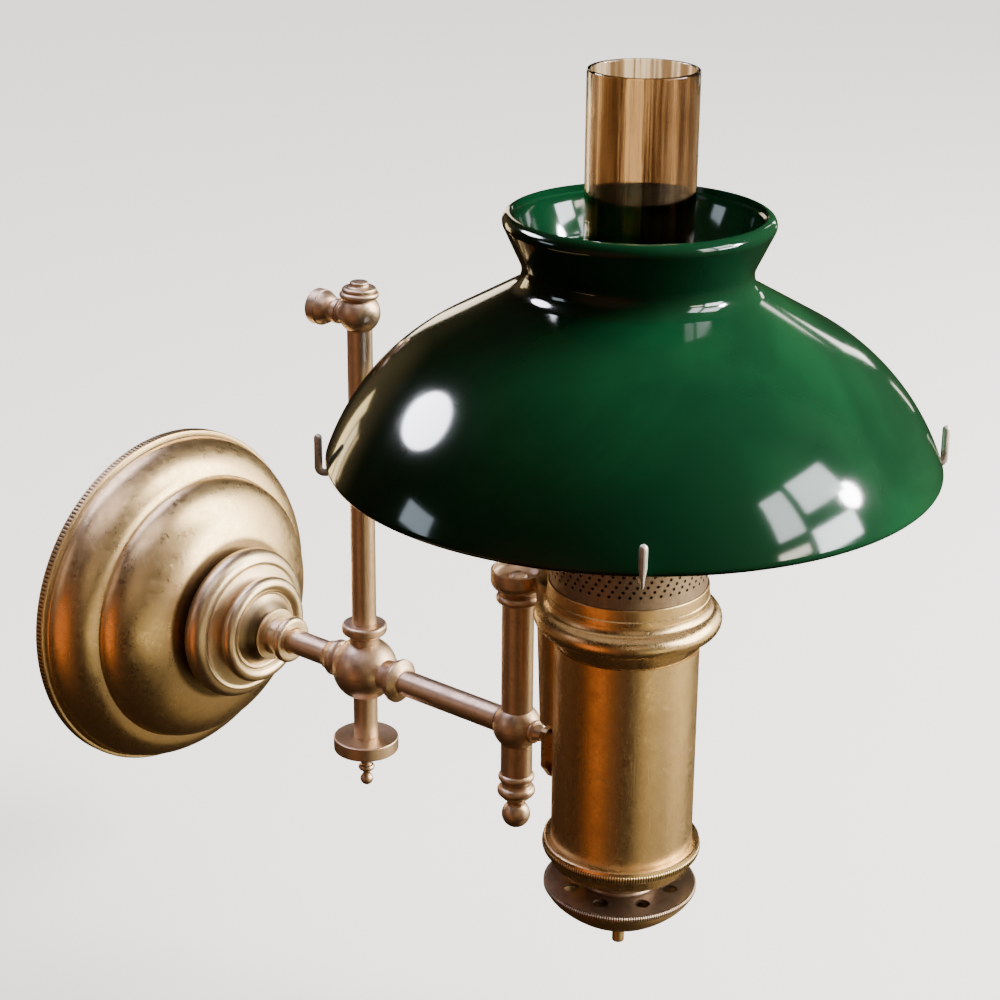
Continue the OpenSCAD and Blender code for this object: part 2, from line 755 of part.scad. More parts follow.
skirt_r = font_r - font_wall;
bead_z = font_high + bead_rise;
shoulder_top = bead_z + bead_r + 1.3;
module font_shoulder() {
  w = 1;
  b = bead_r;
  c = bead_out - b;
  color(brass) difference() {
    at_lamp() turned(concat(
      [[skirt_r, font_high - skirt_h], [skirt_r, font_high + 0.2]],
      bend([skirt_r + 1, font_high + 1], [c - 0.4, bead_z - b], [1, 5], [4, 1.4], 8),
      arc([c, bead_z], b, -80, 100, 16),
      [[collar_ring_r - 0.4, bead_z + b - 0.4], [collar_ring_r - 0.8, shoulder_top]],
      [[wick_tube_r, shoulder_top], [wick_tube_r, shoulder_top - w]],
      [[c - 3, shoulder_top - w], [c - 3, bead_z - b + 1]],
      bend([c - 3.6, bead_z - b + 1.6], [skirt_r - w, font_high - 0.6], [-3, -2], [0, -4], 6),
      [[skirt_r - w, font_high - skirt_h]]));
    difference() {
      chute_form(0);
      at_lamp() cylinder(r = skirt_r, h = chute_z);
    }
  }
}

module collar_ring() {
  r = collar_ring_r;
  z0 = shoulder_top;
  mid = z0 + collar_ring_h * 0.5;
  top = z0 + collar_ring_h;
  bore = gallery_r + seat;
  color(brass) at_lamp() turned([[bore - 2.4, z0], [r - 0.8, z0], [r, z0 + 0.6], [r, mid - 0.4],
    [r - 0.35, mid], [r - 0.35, top - 0.5], [r - 0.6, top], [bore, top], [bore, z0 + 5],
    [bore - 2.4, z0 + 5]]);
}

module font_floor() {
  t = 1.2;
  color(brass) at_lamp() translate([0, 0, font_low]) difference() {
    cylinder(r = skirt_r, h = t);
    translate([0, 0, -1]) cylinder(r = draught_r, h = t + 2);
  }
}

module base_ring() {
  r = base_r;
  z1 = font_low;
  z0 = font_low - base_h;
  color(brass) at_lamp() turned(concat(
    [[font_r - 3, z1]], [[font_r, z1]],
    [[font_r, z1 + 0.5]], arc([font_r + 2.2, z1 - 1.4], 2.1, 110, 60, 4),
    arc([r - 1, z1 - 2], 1, 50, 0, 4), [[r, z1 - 3], [r - 0.5, z1 - 4.4]],
    [[r - 1.6, z1 - 5], [r - 2, z1 - 6.6], [r - 3, z1 - 7], [r - 3.4, z1 - 9.4]],
    [[r - 4.6, z0 + 0.6], [r - 5, z0], [font_r - 3, z0]]));
}

// Burner

sleeve_z0 = shoulder_top + seat;
pin_z = sleeve_z0 + 5.6;
module draught_tube() {
  color(brass) at_lamp() tube(draught_r, draught_wall, drip_z + 1.5, burner_z);
}

module wick_tube() {
  slot = wick_rise + 2 * lift_pin_r + 2 * seat;
  color(brass) at_lamp() difference() {
    tube(wick_tube_r, wick_tube_wall, font_low + 12, burner_z - 4);
    translate([0, -lift_pin_r - seat, pin_z - lift_pin_r - seat]) {
      cube([2 * wick_tube_r, 2 * (lift_pin_r + seat), slot]);
    }
  }
}

spreader_r = draught_r - draught_wall - running;
module flame_spreader() {
  color(dark_brass) at_lamp() difference() {
    turned(concat([[spreader_r - 0.8, burner_z - 9], [spreader_r, burner_z - 9],
      [spreader_r, burner_z], [draught_r - 0.1, burner_z], [draught_r - 0.1, burner_z + 0.6],
      [spreader_r - 1, burner_z + 0.8], [spreader_r - 1, burner_z + 5]],
      arc([spreader_r - 3, burner_z + 5], 2, 0, 80, 5),
      [[0, burner_z + 8], [0, burner_z + 7], [spreader_r - 2.6, burner_z + 6],
      [spreader_r - 1.8, burner_z + 4.6], [spreader_r - 1.8, burner_z - 0.8],
      [spreader_r - 0.8, burner_z - 1.6]]));
    for (i = [0:11]) rotate([0, 0, 30 * i]) translate([spreader_r - 3, 0, burner_z + 3]) {
      rotate([0, 90, 0]) cylinder(r = 1, h = 4, $fn = 24);
    }
  }
}

wick_in = draught_r + seat;
wick_out = wick_in + wick_t;
module wick() {
  color("#d9cfb4") at_lamp() tube(wick_out, wick_t, font_low + 20, burner_z + 1);
}

module wick_carrier() {
  out = wick_tube_r - wick_tube_wall - seat;
  color(dark_brass) at_lamp() {
    tube(out, out - wick_out, pin_z - 3, pin_z + 3);
    difference() {
      translate([out - 0.3, 0, pin_z]) rotate([0, 90, 0]) {
        cylinder(r = lift_pin_r, h = sleeve_r - out - 0.1);
      }
      translate([0, 0, pin_z - 3]) cylinder(r = out - 0.2, h = 6);
    }
  }
}

sleeve_wall = 1;
sleeve_in = wick_tube_r + seat;
sleeve_r = sleeve_in + sleeve_wall;
deck_t = 1;
module lift_sleeve() {
  steps = 30;
  pitch = gallery_turn / steps;
  run = 2 * PI * sleeve_r * pitch / 360;
  climb = atan2(wick_rise / steps, run);
  color(dark_brass) at_lamp() difference() {
    tube(sleeve_r, sleeve_wall, sleeve_z0, gallery_z - deck_t);
    for (i = [0:steps]) rotate([0, 0, -pitch * i]) {
      translate([sleeve_r, 0, pin_z + wick_rise * i / steps]) rotate([-climb, 0, 0]) {
        cube([3 * sleeve_wall, run * 1.2, 2 * lift_pin_r + 2 * seat], center = true);
      }
    }
  }
}

// Gallery

mesh_turn = 217.2;
// Drum of perforated sheet; each row of holes is shifted by a third of their spacing
module gallery() {
  r = gallery_r;
  w = gallery_wall;
  low = shoulder_top + 5 + seat;
  first = gallery_z - 2.4 - (mesh_rows - 1) * mesh_pitch;
  step = 360 / mesh_count;
  color(brass) at_lamp() difference() {
    turned([[r - w, low], [r, low], [r, gallery_z - 0.6], [r - 0.5, gallery_z], [r - w, gallery_z]]);
    for (row = [0:mesh_rows - 1]) for (i = [0:mesh_count - 1]) {
      rotate([0, 0, mesh_turn + (i + row / 3) * step]) {
        translate([r - w - 0.5, 0, first + row * mesh_pitch]) rotate([0, 90, 0]) {
          cylinder(r = mesh_hole_r, h = w + 1, $fn = 24);
        }
      }
    }
  }
}

module gallery_deck() {
  holes = 8;
  air_r = 2.4;
  ring = (sleeve_r + chimney_foot_r) / 2;
  color(brass) at_lamp() difference() {
    translate([0, 0, gallery_z - deck_t]) cylinder(r = gallery_r - gallery_wall, h = deck_t);
    translate([0, 0, gallery_z - deck_t - 1]) cylinder(r = sleeve_in, h = deck_t + 2);
    for (i = [0:holes - 1]) rotate([0, 0, 360 / holes * (i + 0.5)]) {
      translate([ring, 0, gallery_z - deck_t - 1]) cylinder(r = air_r, h = deck_t + 2);
    }
  }
}

cup_in = chimney_foot_r + seat;
cup_wall = 0.8;
module chimney_cup() {
  h = 11;
  color(brass) at_lamp() difference() {
    turned([[cup_in - 2.4, gallery_z], [cup_in + cup_wall, gallery_z],
      [cup_in + cup_wall, gallery_z + h - 1.4], [cup_in + cup_wall + 0.7, gallery_z + h],
      [cup_in + 0.7, gallery_z + h], [cup_in, gallery_z + h - 1.4], [cup_in, gallery_z + 1],
      [cup_in - 2.4, gallery_z + 1]]);
    for (i = [0:finger_count - 1]) rotate([0, 0, 360 / finger_count * i]) {
      translate([cup_in - 1, -0.8, gallery_z + 2.4]) cube([4, 1.6, h]);
    }
  }
}

shade_ring_in = cup_in + cup_wall + 1;
shade_ring_t = 2.4;
module shade_ring() {
  color(steel) at_lamp() translate([0, 0, gallery_z]) difference() {
    cylinder(r = gallery_r + 0.4, h = shade_ring_t);
    translate([0, 0, -1]) cylinder(r = shade_ring_in, h = shade_ring_t + 2);
  }
}

// The arms are bent by hand, so they stand at slightly uneven angles
hook_angles = [45, 135.5, 218, 310.5];
module shade_arms() {
  z0 = gallery_z + shade_ring_t;
  leg_z = shade_z - seat - hook_t;
  foot = leg_z - hook_keel;
  inner = shade_r - 6;
  out = shade_r + seat + hook_t + 0.5;
  start = shade_ring_in + 0.4;
  t = hook_t;
  tip = hook_tip / 2;
  keel = 2.4;
  color(steel) at_lamp() for (a = hook_angles) rotate([0, 0, a]) difference() {
    translate([0, hook_w / 2, 0]) rotate([90, 0, 0]) linear_extrude(hook_w) polygon(concat(
      [[start, z0], [start + 5, z0], [inner + 1.2, foot]],
      arc([out - keel, foot + keel], keel, -90, 0, 5),
      arc([out - t + tip, leg_z + hook_h - tip], tip, 0, 180, 8),
      [[out - t, leg_z + t + 0.6], [out - t - 0.6, leg_z + t], [inner, leg_z + t]],
      [[start + 4, z0 + t], [start, z0 + t]]));
    // The foot is filed to a keel
    for (s = [-1, 1]) translate([out - 2 * keel, 0, foot]) rotate([90, 0, 90]) {
      linear_extrude(3 * keel) polygon([[s * 0.25, -0.1], [s * (hook_w / 2 + 0.1), -0.1],
        [s * (hook_w / 2 + 0.1), keel + hook_keel], [s * hook_w / 2, keel + hook_keel]]);
    }
  }
}

// Shade and chimney

dome_lift = shade_z - 29.7;
dome_c = [shade_r - sqrt(pow(dome_r, 2) - pow(shade_z - dome_lift, 2)), dome_lift];
neck_c = [neck_r + neck_curve, (dome_c[0] * cos(cone_angle) + dome_c[1] * sin(cone_angle)
  + dome_r + neck_curve - (neck_r + neck_curve) * cos(cone_angle)) / sin(cone_angle)];
lip_line = (neck_c[0] - neck_curve * cos(flare_angle)) * cos(flare_angle)
  - (neck_c[1] + neck_curve * sin(flare_angle)) * sin(flare_angle);
lip_c = [lip_r - lip_bead,
  ((lip_r - lip_bead) * cos(flare_angle) - lip_line + lip_bead) / sin(flare_angle)];
module shade() {
  t = shade_t;
  rim_a = asin((shade_z + t / 2 - dome_c[1]) / (dome_r - t / 2));
  rim_c = dome_c + (dome_r - t / 2) * [cos(rim_a), sin(rim_a)];
  lip_in = lip_c[0] + 0.2;
  color("#0f4d2c") at_lamp() rotate_extrude($fn = 160) polygon(concat(
    arc(rim_c, t / 2, rim_a - 150, rim_a, 8),
    arc(dome_c, dome_r, rim_a + 1, cone_angle, 22),
    arc(neck_c, neck_curve, 180 + cone_angle, 180 - flare_angle, 10),
    arc(lip_c, lip_bead, -flare_angle, 86, 12),
    [[lip_in, lip_c[1] + 1.2], [lip_in - 1.1, lip_c[1] + 0.6], [lip_in - 1.3, lip_c[1] - 2.6]],
    arc(neck_c, neck_curve + t, 180 - flare_angle, 180 + cone_angle, 10),
    arc(dome_c, dome_r - t, cone_angle, rim_a + 1, 22)));
}

module chimney() {
  t = chimney_t;
  z0 = gallery_z + 1;
  f = chimney_foot_r;
  r = chimney_r;
  shoulder = z0 + bulb_h;
  color("#c9965a", 0.5) at_lamp() turned(concat(
    [[f - t, z0], [f, z0]],
    bend([f, shoulder], [r, shoulder + taper_len], [0, taper_len], [0, taper_len], 8),
    arc([r - t / 2, chimney_z - t / 2], t / 2, 0, 180, 6),
    bend([r - t, shoulder + taper_len], [f - t, shoulder], [0, -taper_len], [0, -taper_len], 8)));
}

// Drip cup

hole_turn = 16.2;
module drip_disc() {
  r = drip_r;
  z = drip_z;
  t = 1.2;
  n = drip_neck_r;
  bore = draught_r + running;
  top = z + drip_neck_h;
  color(steel) at_lamp() difference() {
    turned(concat(
      [[n - t, z - t], [r - 2.4, z - t], [r - 2.4, z - 2.6], [r - 0.5, z - 2.6],
      [r, z - 2], [r, z - 0.9], [r - 0.6, z - 0.3], [r - 2, z], [n + 1, z]],
      bend([n + 1, z], [n, z + 1.4], [-1, 0], [0, 1.4], 4), arc([n - 1.4, top - 1.4], 1.4, 0, 90, 4),
      [[bore, top], [bore, top - 4.5], [bore + t, top - 4.5], [bore + t, top - t],
      [n - t, top - t - 1]]));
    for (i = [0:drip_holes - 1]) rotate([0, 0, hole_turn + 360 / drip_holes * i]) {
      translate([drip_hole_ring, 0, z - 4]) cylinder(r = drip_hole_r, h = 6);
    }
  }
}

module drip_bowl() {
  r = drip_r - 0.9;
  z1 = drip_z - 2.6;
  z0 = drip_z - drip_depth;
  t = 1;
  color(brass) at_lamp() turned(concat(
    [[r, z1]], bend([r, z1 - 0.4], [13, z0], [0, -8], [-22, -3], 12), [[0, z0]],
    [[0, z0 + t]], bend([12.4, z0 + t], [r - t, z1 - 0.4], [20, 2], [0, 8], 12), [[r - t, z1]]));
}

module drip_pin() {
  z0 = drip_z - drip_depth;
  r = drip_pin_r;
  color(steel) at_lamp() turned(concat([[0, z0], [r + 1.8, z0], [r + 1.4, z0 - 1.4], [r, z0 - 2.6],
    [r, z0 - drip_pin_len - 2]], arc([r - 0.6, z0 - drip_pin_len - 2.6], 0.6, 0, -80, 3),
    [[0, z0 - drip_pin_len - 3.2]]));
}

wall_strap();
wall_nipple();
wall_rose();
rose_boss();
rose_cup();
root_collar();
root_flange();
inner_arm();
pivot_ball_lower();
pivot_ball_upper();
pivot_collar();
post_rod();
post_foot();
post_finial();
post_head();
post_cap();
clamp_knob();
outer_ferrule();
outer_arm();
column_ball_lower();
column_lower();
drop_finial();
column_spindle();
spindle_nut();
column_ball_upper();
column_upper();
column_cup();
feed_pipe();
font_flange();
filler_chute();
font_shell();
font_shoulder();
collar_ring();
font_floor();
base_ring();
draught_tube();
wick_tube();
flame_spreader();
wick();
wick_carrier();
drip_disc();
drip_bowl();
drip_pin();
gallery();
gallery_deck();
lift_sleeve();
chimney_cup();
shade_ring();
shade_arms();
shade();
chimney();
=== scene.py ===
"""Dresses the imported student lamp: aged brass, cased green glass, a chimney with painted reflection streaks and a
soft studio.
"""

import json
import math

import bpy
from bpy.props import FloatProperty, FloatVectorProperty, IntProperty, PointerProperty
from mathutils import Matrix, Vector


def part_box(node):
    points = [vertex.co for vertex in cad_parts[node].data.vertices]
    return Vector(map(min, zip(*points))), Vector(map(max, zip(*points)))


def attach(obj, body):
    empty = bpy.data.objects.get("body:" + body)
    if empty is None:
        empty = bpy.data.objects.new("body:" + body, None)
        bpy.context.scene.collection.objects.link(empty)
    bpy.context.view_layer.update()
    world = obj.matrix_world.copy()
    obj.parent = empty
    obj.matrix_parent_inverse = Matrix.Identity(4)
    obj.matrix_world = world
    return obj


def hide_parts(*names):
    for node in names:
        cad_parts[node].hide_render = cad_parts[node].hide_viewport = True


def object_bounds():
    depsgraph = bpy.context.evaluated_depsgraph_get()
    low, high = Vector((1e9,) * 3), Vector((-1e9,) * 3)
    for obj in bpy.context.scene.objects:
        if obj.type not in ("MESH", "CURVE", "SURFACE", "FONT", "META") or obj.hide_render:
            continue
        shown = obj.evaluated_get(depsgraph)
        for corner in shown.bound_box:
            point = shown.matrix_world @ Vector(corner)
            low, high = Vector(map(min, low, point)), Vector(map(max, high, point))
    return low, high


bl_info = {
    "name": "Student lamp dressing",
    "version": (1, 0, 0),
    "blender": (4, 5, 0),
    "location": "View3D > Sidebar > Lamp",
    "description": "Finishes for a wall-bracket student lamp and the studio that shows it",
    "category": "Object",
}

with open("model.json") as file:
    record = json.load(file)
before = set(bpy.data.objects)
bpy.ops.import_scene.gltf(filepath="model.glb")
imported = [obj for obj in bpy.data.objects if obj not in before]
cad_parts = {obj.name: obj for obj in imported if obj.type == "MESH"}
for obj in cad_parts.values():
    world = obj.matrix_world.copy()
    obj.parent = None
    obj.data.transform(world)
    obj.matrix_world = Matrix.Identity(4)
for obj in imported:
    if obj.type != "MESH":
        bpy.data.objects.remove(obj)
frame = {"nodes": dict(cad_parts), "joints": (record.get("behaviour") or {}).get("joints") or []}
CAD_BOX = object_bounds()
NODES = frame["nodes"]


def joint_place(name):
    """The point on a joint's axis, in metres."""
    joint = next(j for j in frame["joints"] if j["name"] == name)
    return Vector(joint["pos_m"])


LAMP_AXIS = joint_place("gallery_turn")
POST_AXIS = joint_place("arm_swing")
COLUMN_AXIS = joint_place("lamp_swing")

ROSE_NODES = ("wall_rose", "rose_boss", "rose_cup", "root_collar", "root_flange")
POST_NODES = ("post_rod", "post_foot", "post_finial", "post_head", "post_cap", "pivot_collar")
COLUMN_NODES = ("column_ball_upper", "column_ball_lower", "column_lower", "column_upper",
                "column_cup", "drop_finial", "spindle_nut")
ARM_NODES = ("inner_arm", "pivot_ball_lower", "pivot_ball_upper", "outer_ferrule", "outer_arm",
             "clamp_knob", "feed_pipe")
FONT_NODES = ("font_shell", "font_shoulder", "collar_ring", "font_floor", "base_ring",
              "filler_chute", "font_flange", "draught_tube", "lift_sleeve")
PIERCED_NODES = ("gallery", "gallery_deck", "chimney_cup")
WORN_NODES = ("drip_disc", "drip_bowl", "drip_pin")
SOOTED_NODES = ("wick_tube", "flame_spreader", "wick_carrier")
STEEL_NODES = ("wall_strap", "wall_nipple", "column_spindle")
ARM_STEEL_NODES = ("shade_ring", "shade_arms")

# The new pieces by the light that falls on them
LIT_PIECES = {"glass": [], "metal": [], "rose": [], "sheet": []}

# Places that turned pieces are spun at: from the wall along the arm, and upright at the lamp and the column
ON_ARM = Matrix.Rotation(math.pi / 2, 4, "X")
AT_LAMP = Matrix.Translation((LAMP_AXIS.x, LAMP_AXIS.y, 0))
AT_COLUMN = Matrix.Translation((COLUMN_AXIS.x, COLUMN_AXIS.y, 0))


# Node building


def put(tree, kind, settings=None, **sockets):
    """Adds a node, sets its own settings, and fills or links its inputs by name."""
    node = tree.nodes.new(kind)
    for name, value in (settings or {}).items():
        setattr(node, name, value)
    for name, value in sockets.items():
        fill(tree, node.inputs[name.replace("_", " ")], value)
    return node


def fill(tree, socket, value):
    """Links an output to an input, or sets the input's own value."""
    if isinstance(value, bpy.types.NodeSocket):
        tree.links.new(value, socket)
    else:
        socket.default_value = value


def sums(tree, operation, first, second=0.0, third=None, clamp=False):
    """A Math node's result."""
    node = tree.nodes.new("ShaderNodeMath")
    node.operation = operation
    node.use_clamp = clamp
    fill(tree, node.inputs[0], first)
    fill(tree, node.inputs[1], second)
    if third is not None:
        fill(tree, node.inputs[2], third)
    return node.outputs[0]


def ramp(tree, value, low, high, to_low=0.0, to_high=1.0, smooth=True):
    """Maps a range of a value to another range, held at its ends."""
    node = tree.nodes.new("ShaderNodeMapRange")
    node.interpolation_type = "SMOOTHSTEP" if smooth else "LINEAR"
    for index, item in enumerate((value, low, high, to_low, to_high)):
        fill(tree, node.inputs[index], item)
    return node.outputs[0]


def blend_colours(tree, factor, first, second, mode="MIX"):
    """A colour Mix node's result."""
    node = tree.nodes.new("ShaderNodeMix")
    node.data_type = "RGBA"
    node.blend_type = mode
    node.clamp_factor = True
    fill(tree, node.inputs["Factor"], factor)
    fill(tree, node.inputs[6], first)
    fill(tree, node.inputs[7], second)
    return node.outputs[2]


def noise(tree, vector, scale, detail=3.0, roughness=0.55, distortion=0.0):
    """A noise texture's value."""
    node = put(tree, "ShaderNodeTexNoise", Vector=vector, Scale=scale, Detail=detail,
               Roughness=roughness, Distortion=distortion)
    return node.outputs[0]


def stretched(tree, vector, scale, turn=(0.0, 0.0, 0.0)):
    """The coordinates turned and scaled unevenly, for streaks."""
    return put(tree, "ShaderNodeMapping", Vector=vector, Rotation=turn, Scale=scale).outputs[0]


def new_group(name, inputs, outputs):
    """A node group with typed sockets, and its input and output nodes."""
    group = bpy.data.node_groups.new(name, "ShaderNodeTree")
    kinds = {"v": "NodeSocketVector", "f": "NodeSocketFloat", "c": "NodeSocketColor"}
    for label, kind, default in inputs:
        socket = group.interface.new_socket(label, in_out="INPUT", socket_type=kinds[kind])
        if default is not None:
            socket.default_value = default
    for label, kind in outputs:
        group.interface.new_socket(label, in_out="OUTPUT", socket_type=kinds[kind])
    return group, group.nodes.new("NodeGroupInput").outputs, group.nodes.new("NodeGroupOutput").inputs


def use_group(tree, name, **sockets):
    """Places a built group in a tree and returns its outputs."""
    node = tree.nodes.new("ShaderNodeGroup")
    node.node_tree = bpy.data.node_groups[name]
    for label, value in sockets.items():
        fill(tree, node.inputs[label.replace("_", " ")], value)
    return node.outputs


# Shared effects


def build_turning_group():
    """Radius, angle and place along an upright turned axis."""
    group, given, result = new_group(
        "Upright turning", [("Position", "v", None), ("Axis", "v", (0, 0, 0))],
        [("Radius", "f"), ("Angle", "f"), ("Along", "f")])
    away = put(group, "ShaderNodeVectorMath", {"operation": "SUBTRACT"})
    group.links.new(given["Position"], away.inputs[0])
    group.links.new(given["Axis"], away.inputs[1])
    parts = put(group, "ShaderNodeSeparateXYZ", Vector=away.outputs[0]).outputs
    square = sums(group, "ADD", sums(group, "MULTIPLY", parts[0], parts[0]),
                  sums(group, "MULTIPLY", parts[1], parts[1]))
    group.links.new(sums(group, "SQRT", square), result["Radius"])
    group.links.new(sums(group, "ARCTAN2", parts[1], parts[0]), result["Angle"])
    group.links.new(parts[2], result["Along"])


def build_wall_turning_group():
    """Radius, angle and distance from the wall about the arm's axis."""
    group, given, result = new_group(
        "Wall turning", [("Position", "v", None)],
        [("Radius", "f"), ("Angle", "f"), ("Along", "f")])
    parts = put(group, "ShaderNodeSeparateXYZ", Vector=given["Position"]).outputs
    square = sums(group, "ADD", sums(group, "MULTIPLY", parts[0], parts[0]),
                  sums(group, "MULTIPLY", parts[2], parts[2]))
    group.links.new(sums(group, "SQRT", square), result["Radius"])
    group.links.new(sums(group, "ARCTAN2", parts[2], parts[0]), result["Angle"])
    group.links.new(sums(group, "MULTIPLY", parts[1], -1.0), result["Along"])


def build_wear_group():
    """Masks for crevices, where polish never reaches, and for edges that hands rub bright; the bright edges also serve
    as a painted edge highlight.
    """
    group, given, result = new_group(
        "Crevices and edges", [("Position", "v", None), ("Crevice size", "f", 0.0035),
                               ("Edge size", "f", 0.0012)],
        [("Crevice", "f"), ("Edge", "f")])
    hollow = put(group, "ShaderNodeAmbientOcclusion", {"samples": 6},
                 Distance=given["Crevice size"]).outputs["AO"]
    ridge = put(group, "ShaderNodeAmbientOcclusion", {"samples": 4, "inside": True, "only_local": True},
                Distance=given["Edge size"]).outputs["AO"]
    rough = noise(group, given["Position"], 160.0, 4.0)
    crevice = ramp(group, hollow, 0.72, 0.15)
    broken = ramp(group, rough, 0.25, 0.7, 0.85, 1.0)
    group.links.new(sums(group, "MULTIPLY", crevice, broken), result["Crevice"])
    # Lighter edges: rubbed brass, and also a painted highlight along the edges
    edge = ramp(group, ridge, 0.45, 0.95)
    group.links.new(sums(group, "MULTIPLY", edge, ramp(group, rough, 0.3, 0.6, 0.3, 1.0)), result["Edge"])


def build_tarnish_group():
    """Clouds, specks, pits and hairline scratches of old lacquered brass."""
    group, given, result = new_group(
        "Tarnish", [("Position", "v", None), ("Cloud scale", "f", 26.0), ("Speck scale", "f", 420.0)],
        [("Cloud", "f"), ("Speck", "f"), ("Pit", "f"), ("Scratch", "f"), ("Grain", "f")])
    place = given["Position"]
    broad = noise(group, place, given["Cloud scale"], 5.0, 0.62, 0.35)
    patch = noise(group, place, sums(group, "MULTIPLY", given["Cloud scale"], 5.0), 5.0, 0.65, 0.6)
    both = sums(group, "ADD", sums(group, "MULTIPLY", broad, 0.55), sums(group, "MULTIPLY", patch, 0.45))
    group.links.new(ramp(group, both, 0.36, 0.64), result["Cloud"])
    fine = noise(group, place, given["Speck scale"], 4.0, 0.7)
    group.links.new(ramp(group, fine, 0.42, 0.72), result["Speck"])
    cell = put(group, "ShaderNodeTexVoronoi", Vector=place,
               Scale=sums(group, "MULTIPLY", given["Speck scale"], 0.55)).outputs["Distance"]
    rare = ramp(group, noise(group, place, 70.0, 2.0), 0.5, 0.62)
    group.links.new(sums(group, "MULTIPLY", ramp(group, cell, 0.24, 0.12), rare), result["Pit"])
    lines = None
    for turn, scale in (((0.3, 0.2, 0.5), (1400, 30, 60)), ((1.1, 0.7, 1.9), (40, 1300, 50)),
                        ((2.0, 1.2, 0.3), (1200, 60, 36))):
        streak = noise(group, stretched(group, place, scale, turn), 1.0, 1.0)
        thin = ramp(group, streak, 0.68, 0.75)
        lines = thin if lines is None else sums(group, "MAXIMUM", lines, thin)
    curl = noise(group, place, 210.0, 2.0, 0.5, 1.2)
    curl = sums(group, "ABSOLUTE", sums(group, "SUBTRACT", curl, 0.5))
    some = ramp(group, noise(group, place, 330.0, 1.0), 0.52, 0.6)
    curled = sums(group, "MULTIPLY", ramp(group, curl, 0.010, 0.002), some)
    group.links.new(sums(group, "MAXIMUM", lines, curled), result["Scratch"])
    grain = noise(group, place, sums(group, "MULTIPLY", given["Speck scale"], 2.6), 3.0, 0.75)
    group.links.new(ramp(group, grain, 0.30, 0.70), result["Grain"])


def build_aged_brass_group():
    """Colour, roughness and relief of brass from its tarnish and wear."""
    group, given, result = new_group(
        "Aged brass",
        [("Position", "v", None), ("Bright", "c", (0.8, 0.6, 0.38, 1)), ("Middle", "c", (0.6, 0.4, 0.22, 1)),
         ("Dark", "c", (0.2, 0.12, 0.06, 1)), ("Patina", "f", 0.6), ("Gloss", "f", 0.3),
         ("Lines", "f", 0.0)],
        [("Color", "c"), ("Roughness", "f"), ("Height", "f")])
    place = given["Position"]
    old = use_group(group, "Tarnish", Position=place)
    wear = use_group(group, "Crevices and edges", Position=place)
    clouded = sums(group, "MULTIPLY", old["Cloud"], given["Patina"])
    colour = blend_colours(group, clouded, given["Bright"], given["Middle"])
    stained = sums(group, "MULTIPLY", sums(group, "MULTIPLY", old["Speck"], given["Patina"]), 0.20)
    colour = blend_colours(group, stained, colour, given["Dark"])
    colour = blend_colours(group, sums(group, "MULTIPLY", old["Pit"], 0.22), colour, given["Dark"])
    colour = blend_colours(group, sums(group, "MULTIPLY", wear["Crevice"], 0.45), colour, given["Dark"])
    colour = blend_colours(group, sums(group, "MULTIPLY", old["Scratch"], 0.55), colour, given["Bright"])
    grain = sums(group, "MULTIPLY", old["Grain"], sums(group, "MULTIPLY", given["Patina"], 0.34))
    colour = blend_colours(group, grain, colour, given["Middle"])
    # Edges lightened: rubbed brass and a painted edge highlight together
    colour = blend_colours(group, sums(group, "MULTIPLY", wear["Edge"], 0.7), colour, given["Bright"])
    group.links.new(colour, result["Color"])
    rough = sums(group, "ADD", given["Gloss"], sums(group, "MULTIPLY", clouded, 0.10))
    rough = sums(group, "ADD", rough, sums(group, "MULTIPLY", old["Speck"], 0.10))
    rough = sums(group, "ADD", rough, sums(group, "MULTIPLY", old["Grain"], 0.05))
    rough = sums(group, "ADD", rough, sums(group, "MULTIPLY", wear["Crevice"], 0.2))
    rough = sums(group, "SUBTRACT", rough, sums(group, "MULTIPLY", wear["Edge"], 0.08), clamp=True)
    group.links.new(rough, result["Roughness"])
    height = sums(group, "ADD", sums(group, "MULTIPLY", old["Speck"], 0.14),
                  sums(group, "MULTIPLY", old["Grain"], 0.14))
    height = sums(group, "SUBTRACT", height, sums(group, "MULTIPLY", old["Pit"], 0.3))
    height = sums(group, "SUBTRACT", height, sums(group, "MULTIPLY", old["Scratch"], 0.35))
    height = sums(group, "ADD", height, sums(group, "MULTIPLY", old["Cloud"], 0.3))
    group.links.new(sums(group, "ADD", height, given["Lines"]), result["Height"])


def build_milling_group():
    """Fine ridges round a rim, between two places along or across its axis."""
    group, given, result = new_group(
        "Milled rim", [("Angle", "f", 0.0), ("Count", "f", 180.0), ("Place", "f", 0.0),
                       ("From", "f", 0.0), ("To", "f", 1.0)], [("Ridge", "f"), ("Groove", "f")])
    wave = sums(group, "SINE", sums(group, "MULTIPLY", given["Angle"], given["Count"]))
    inside = sums(group, "MULTIPLY", sums(group, "GREATER_THAN", given["Place"], given["From"]),
                  sums(group, "LESS_THAN", given["Place"], given["To"]))
    group.links.new(sums(group, "MULTIPLY", wave, inside), result["Ridge"])
    low = ramp(group, wave, 0.1, -0.9)
    group.links.new(sums(group, "MULTIPLY", low, inside), result["Groove"])


def build_handled_glass_group():
    """Faint smears and dust on glass, as a mask."""
    group, given, result = new_group("Handled glass", [("Position", "v", None)], [("Smear", "f"), ("Dust", "f")])
    wipe = noise(group, stretched(group, given["Position"], (30, 30, 9), (0.2, 0.4, 0.0)), 1.0, 5.0, 0.6, 0.8)
    group.links.new(ramp(group, wipe, 0.45, 0.75), result["Smear"])
    grain = noise(group, given["Position"], 900.0, 2.0)
    group.links.new(ramp(group, grain, 0.66, 0.8), result["Dust"])


# Materials


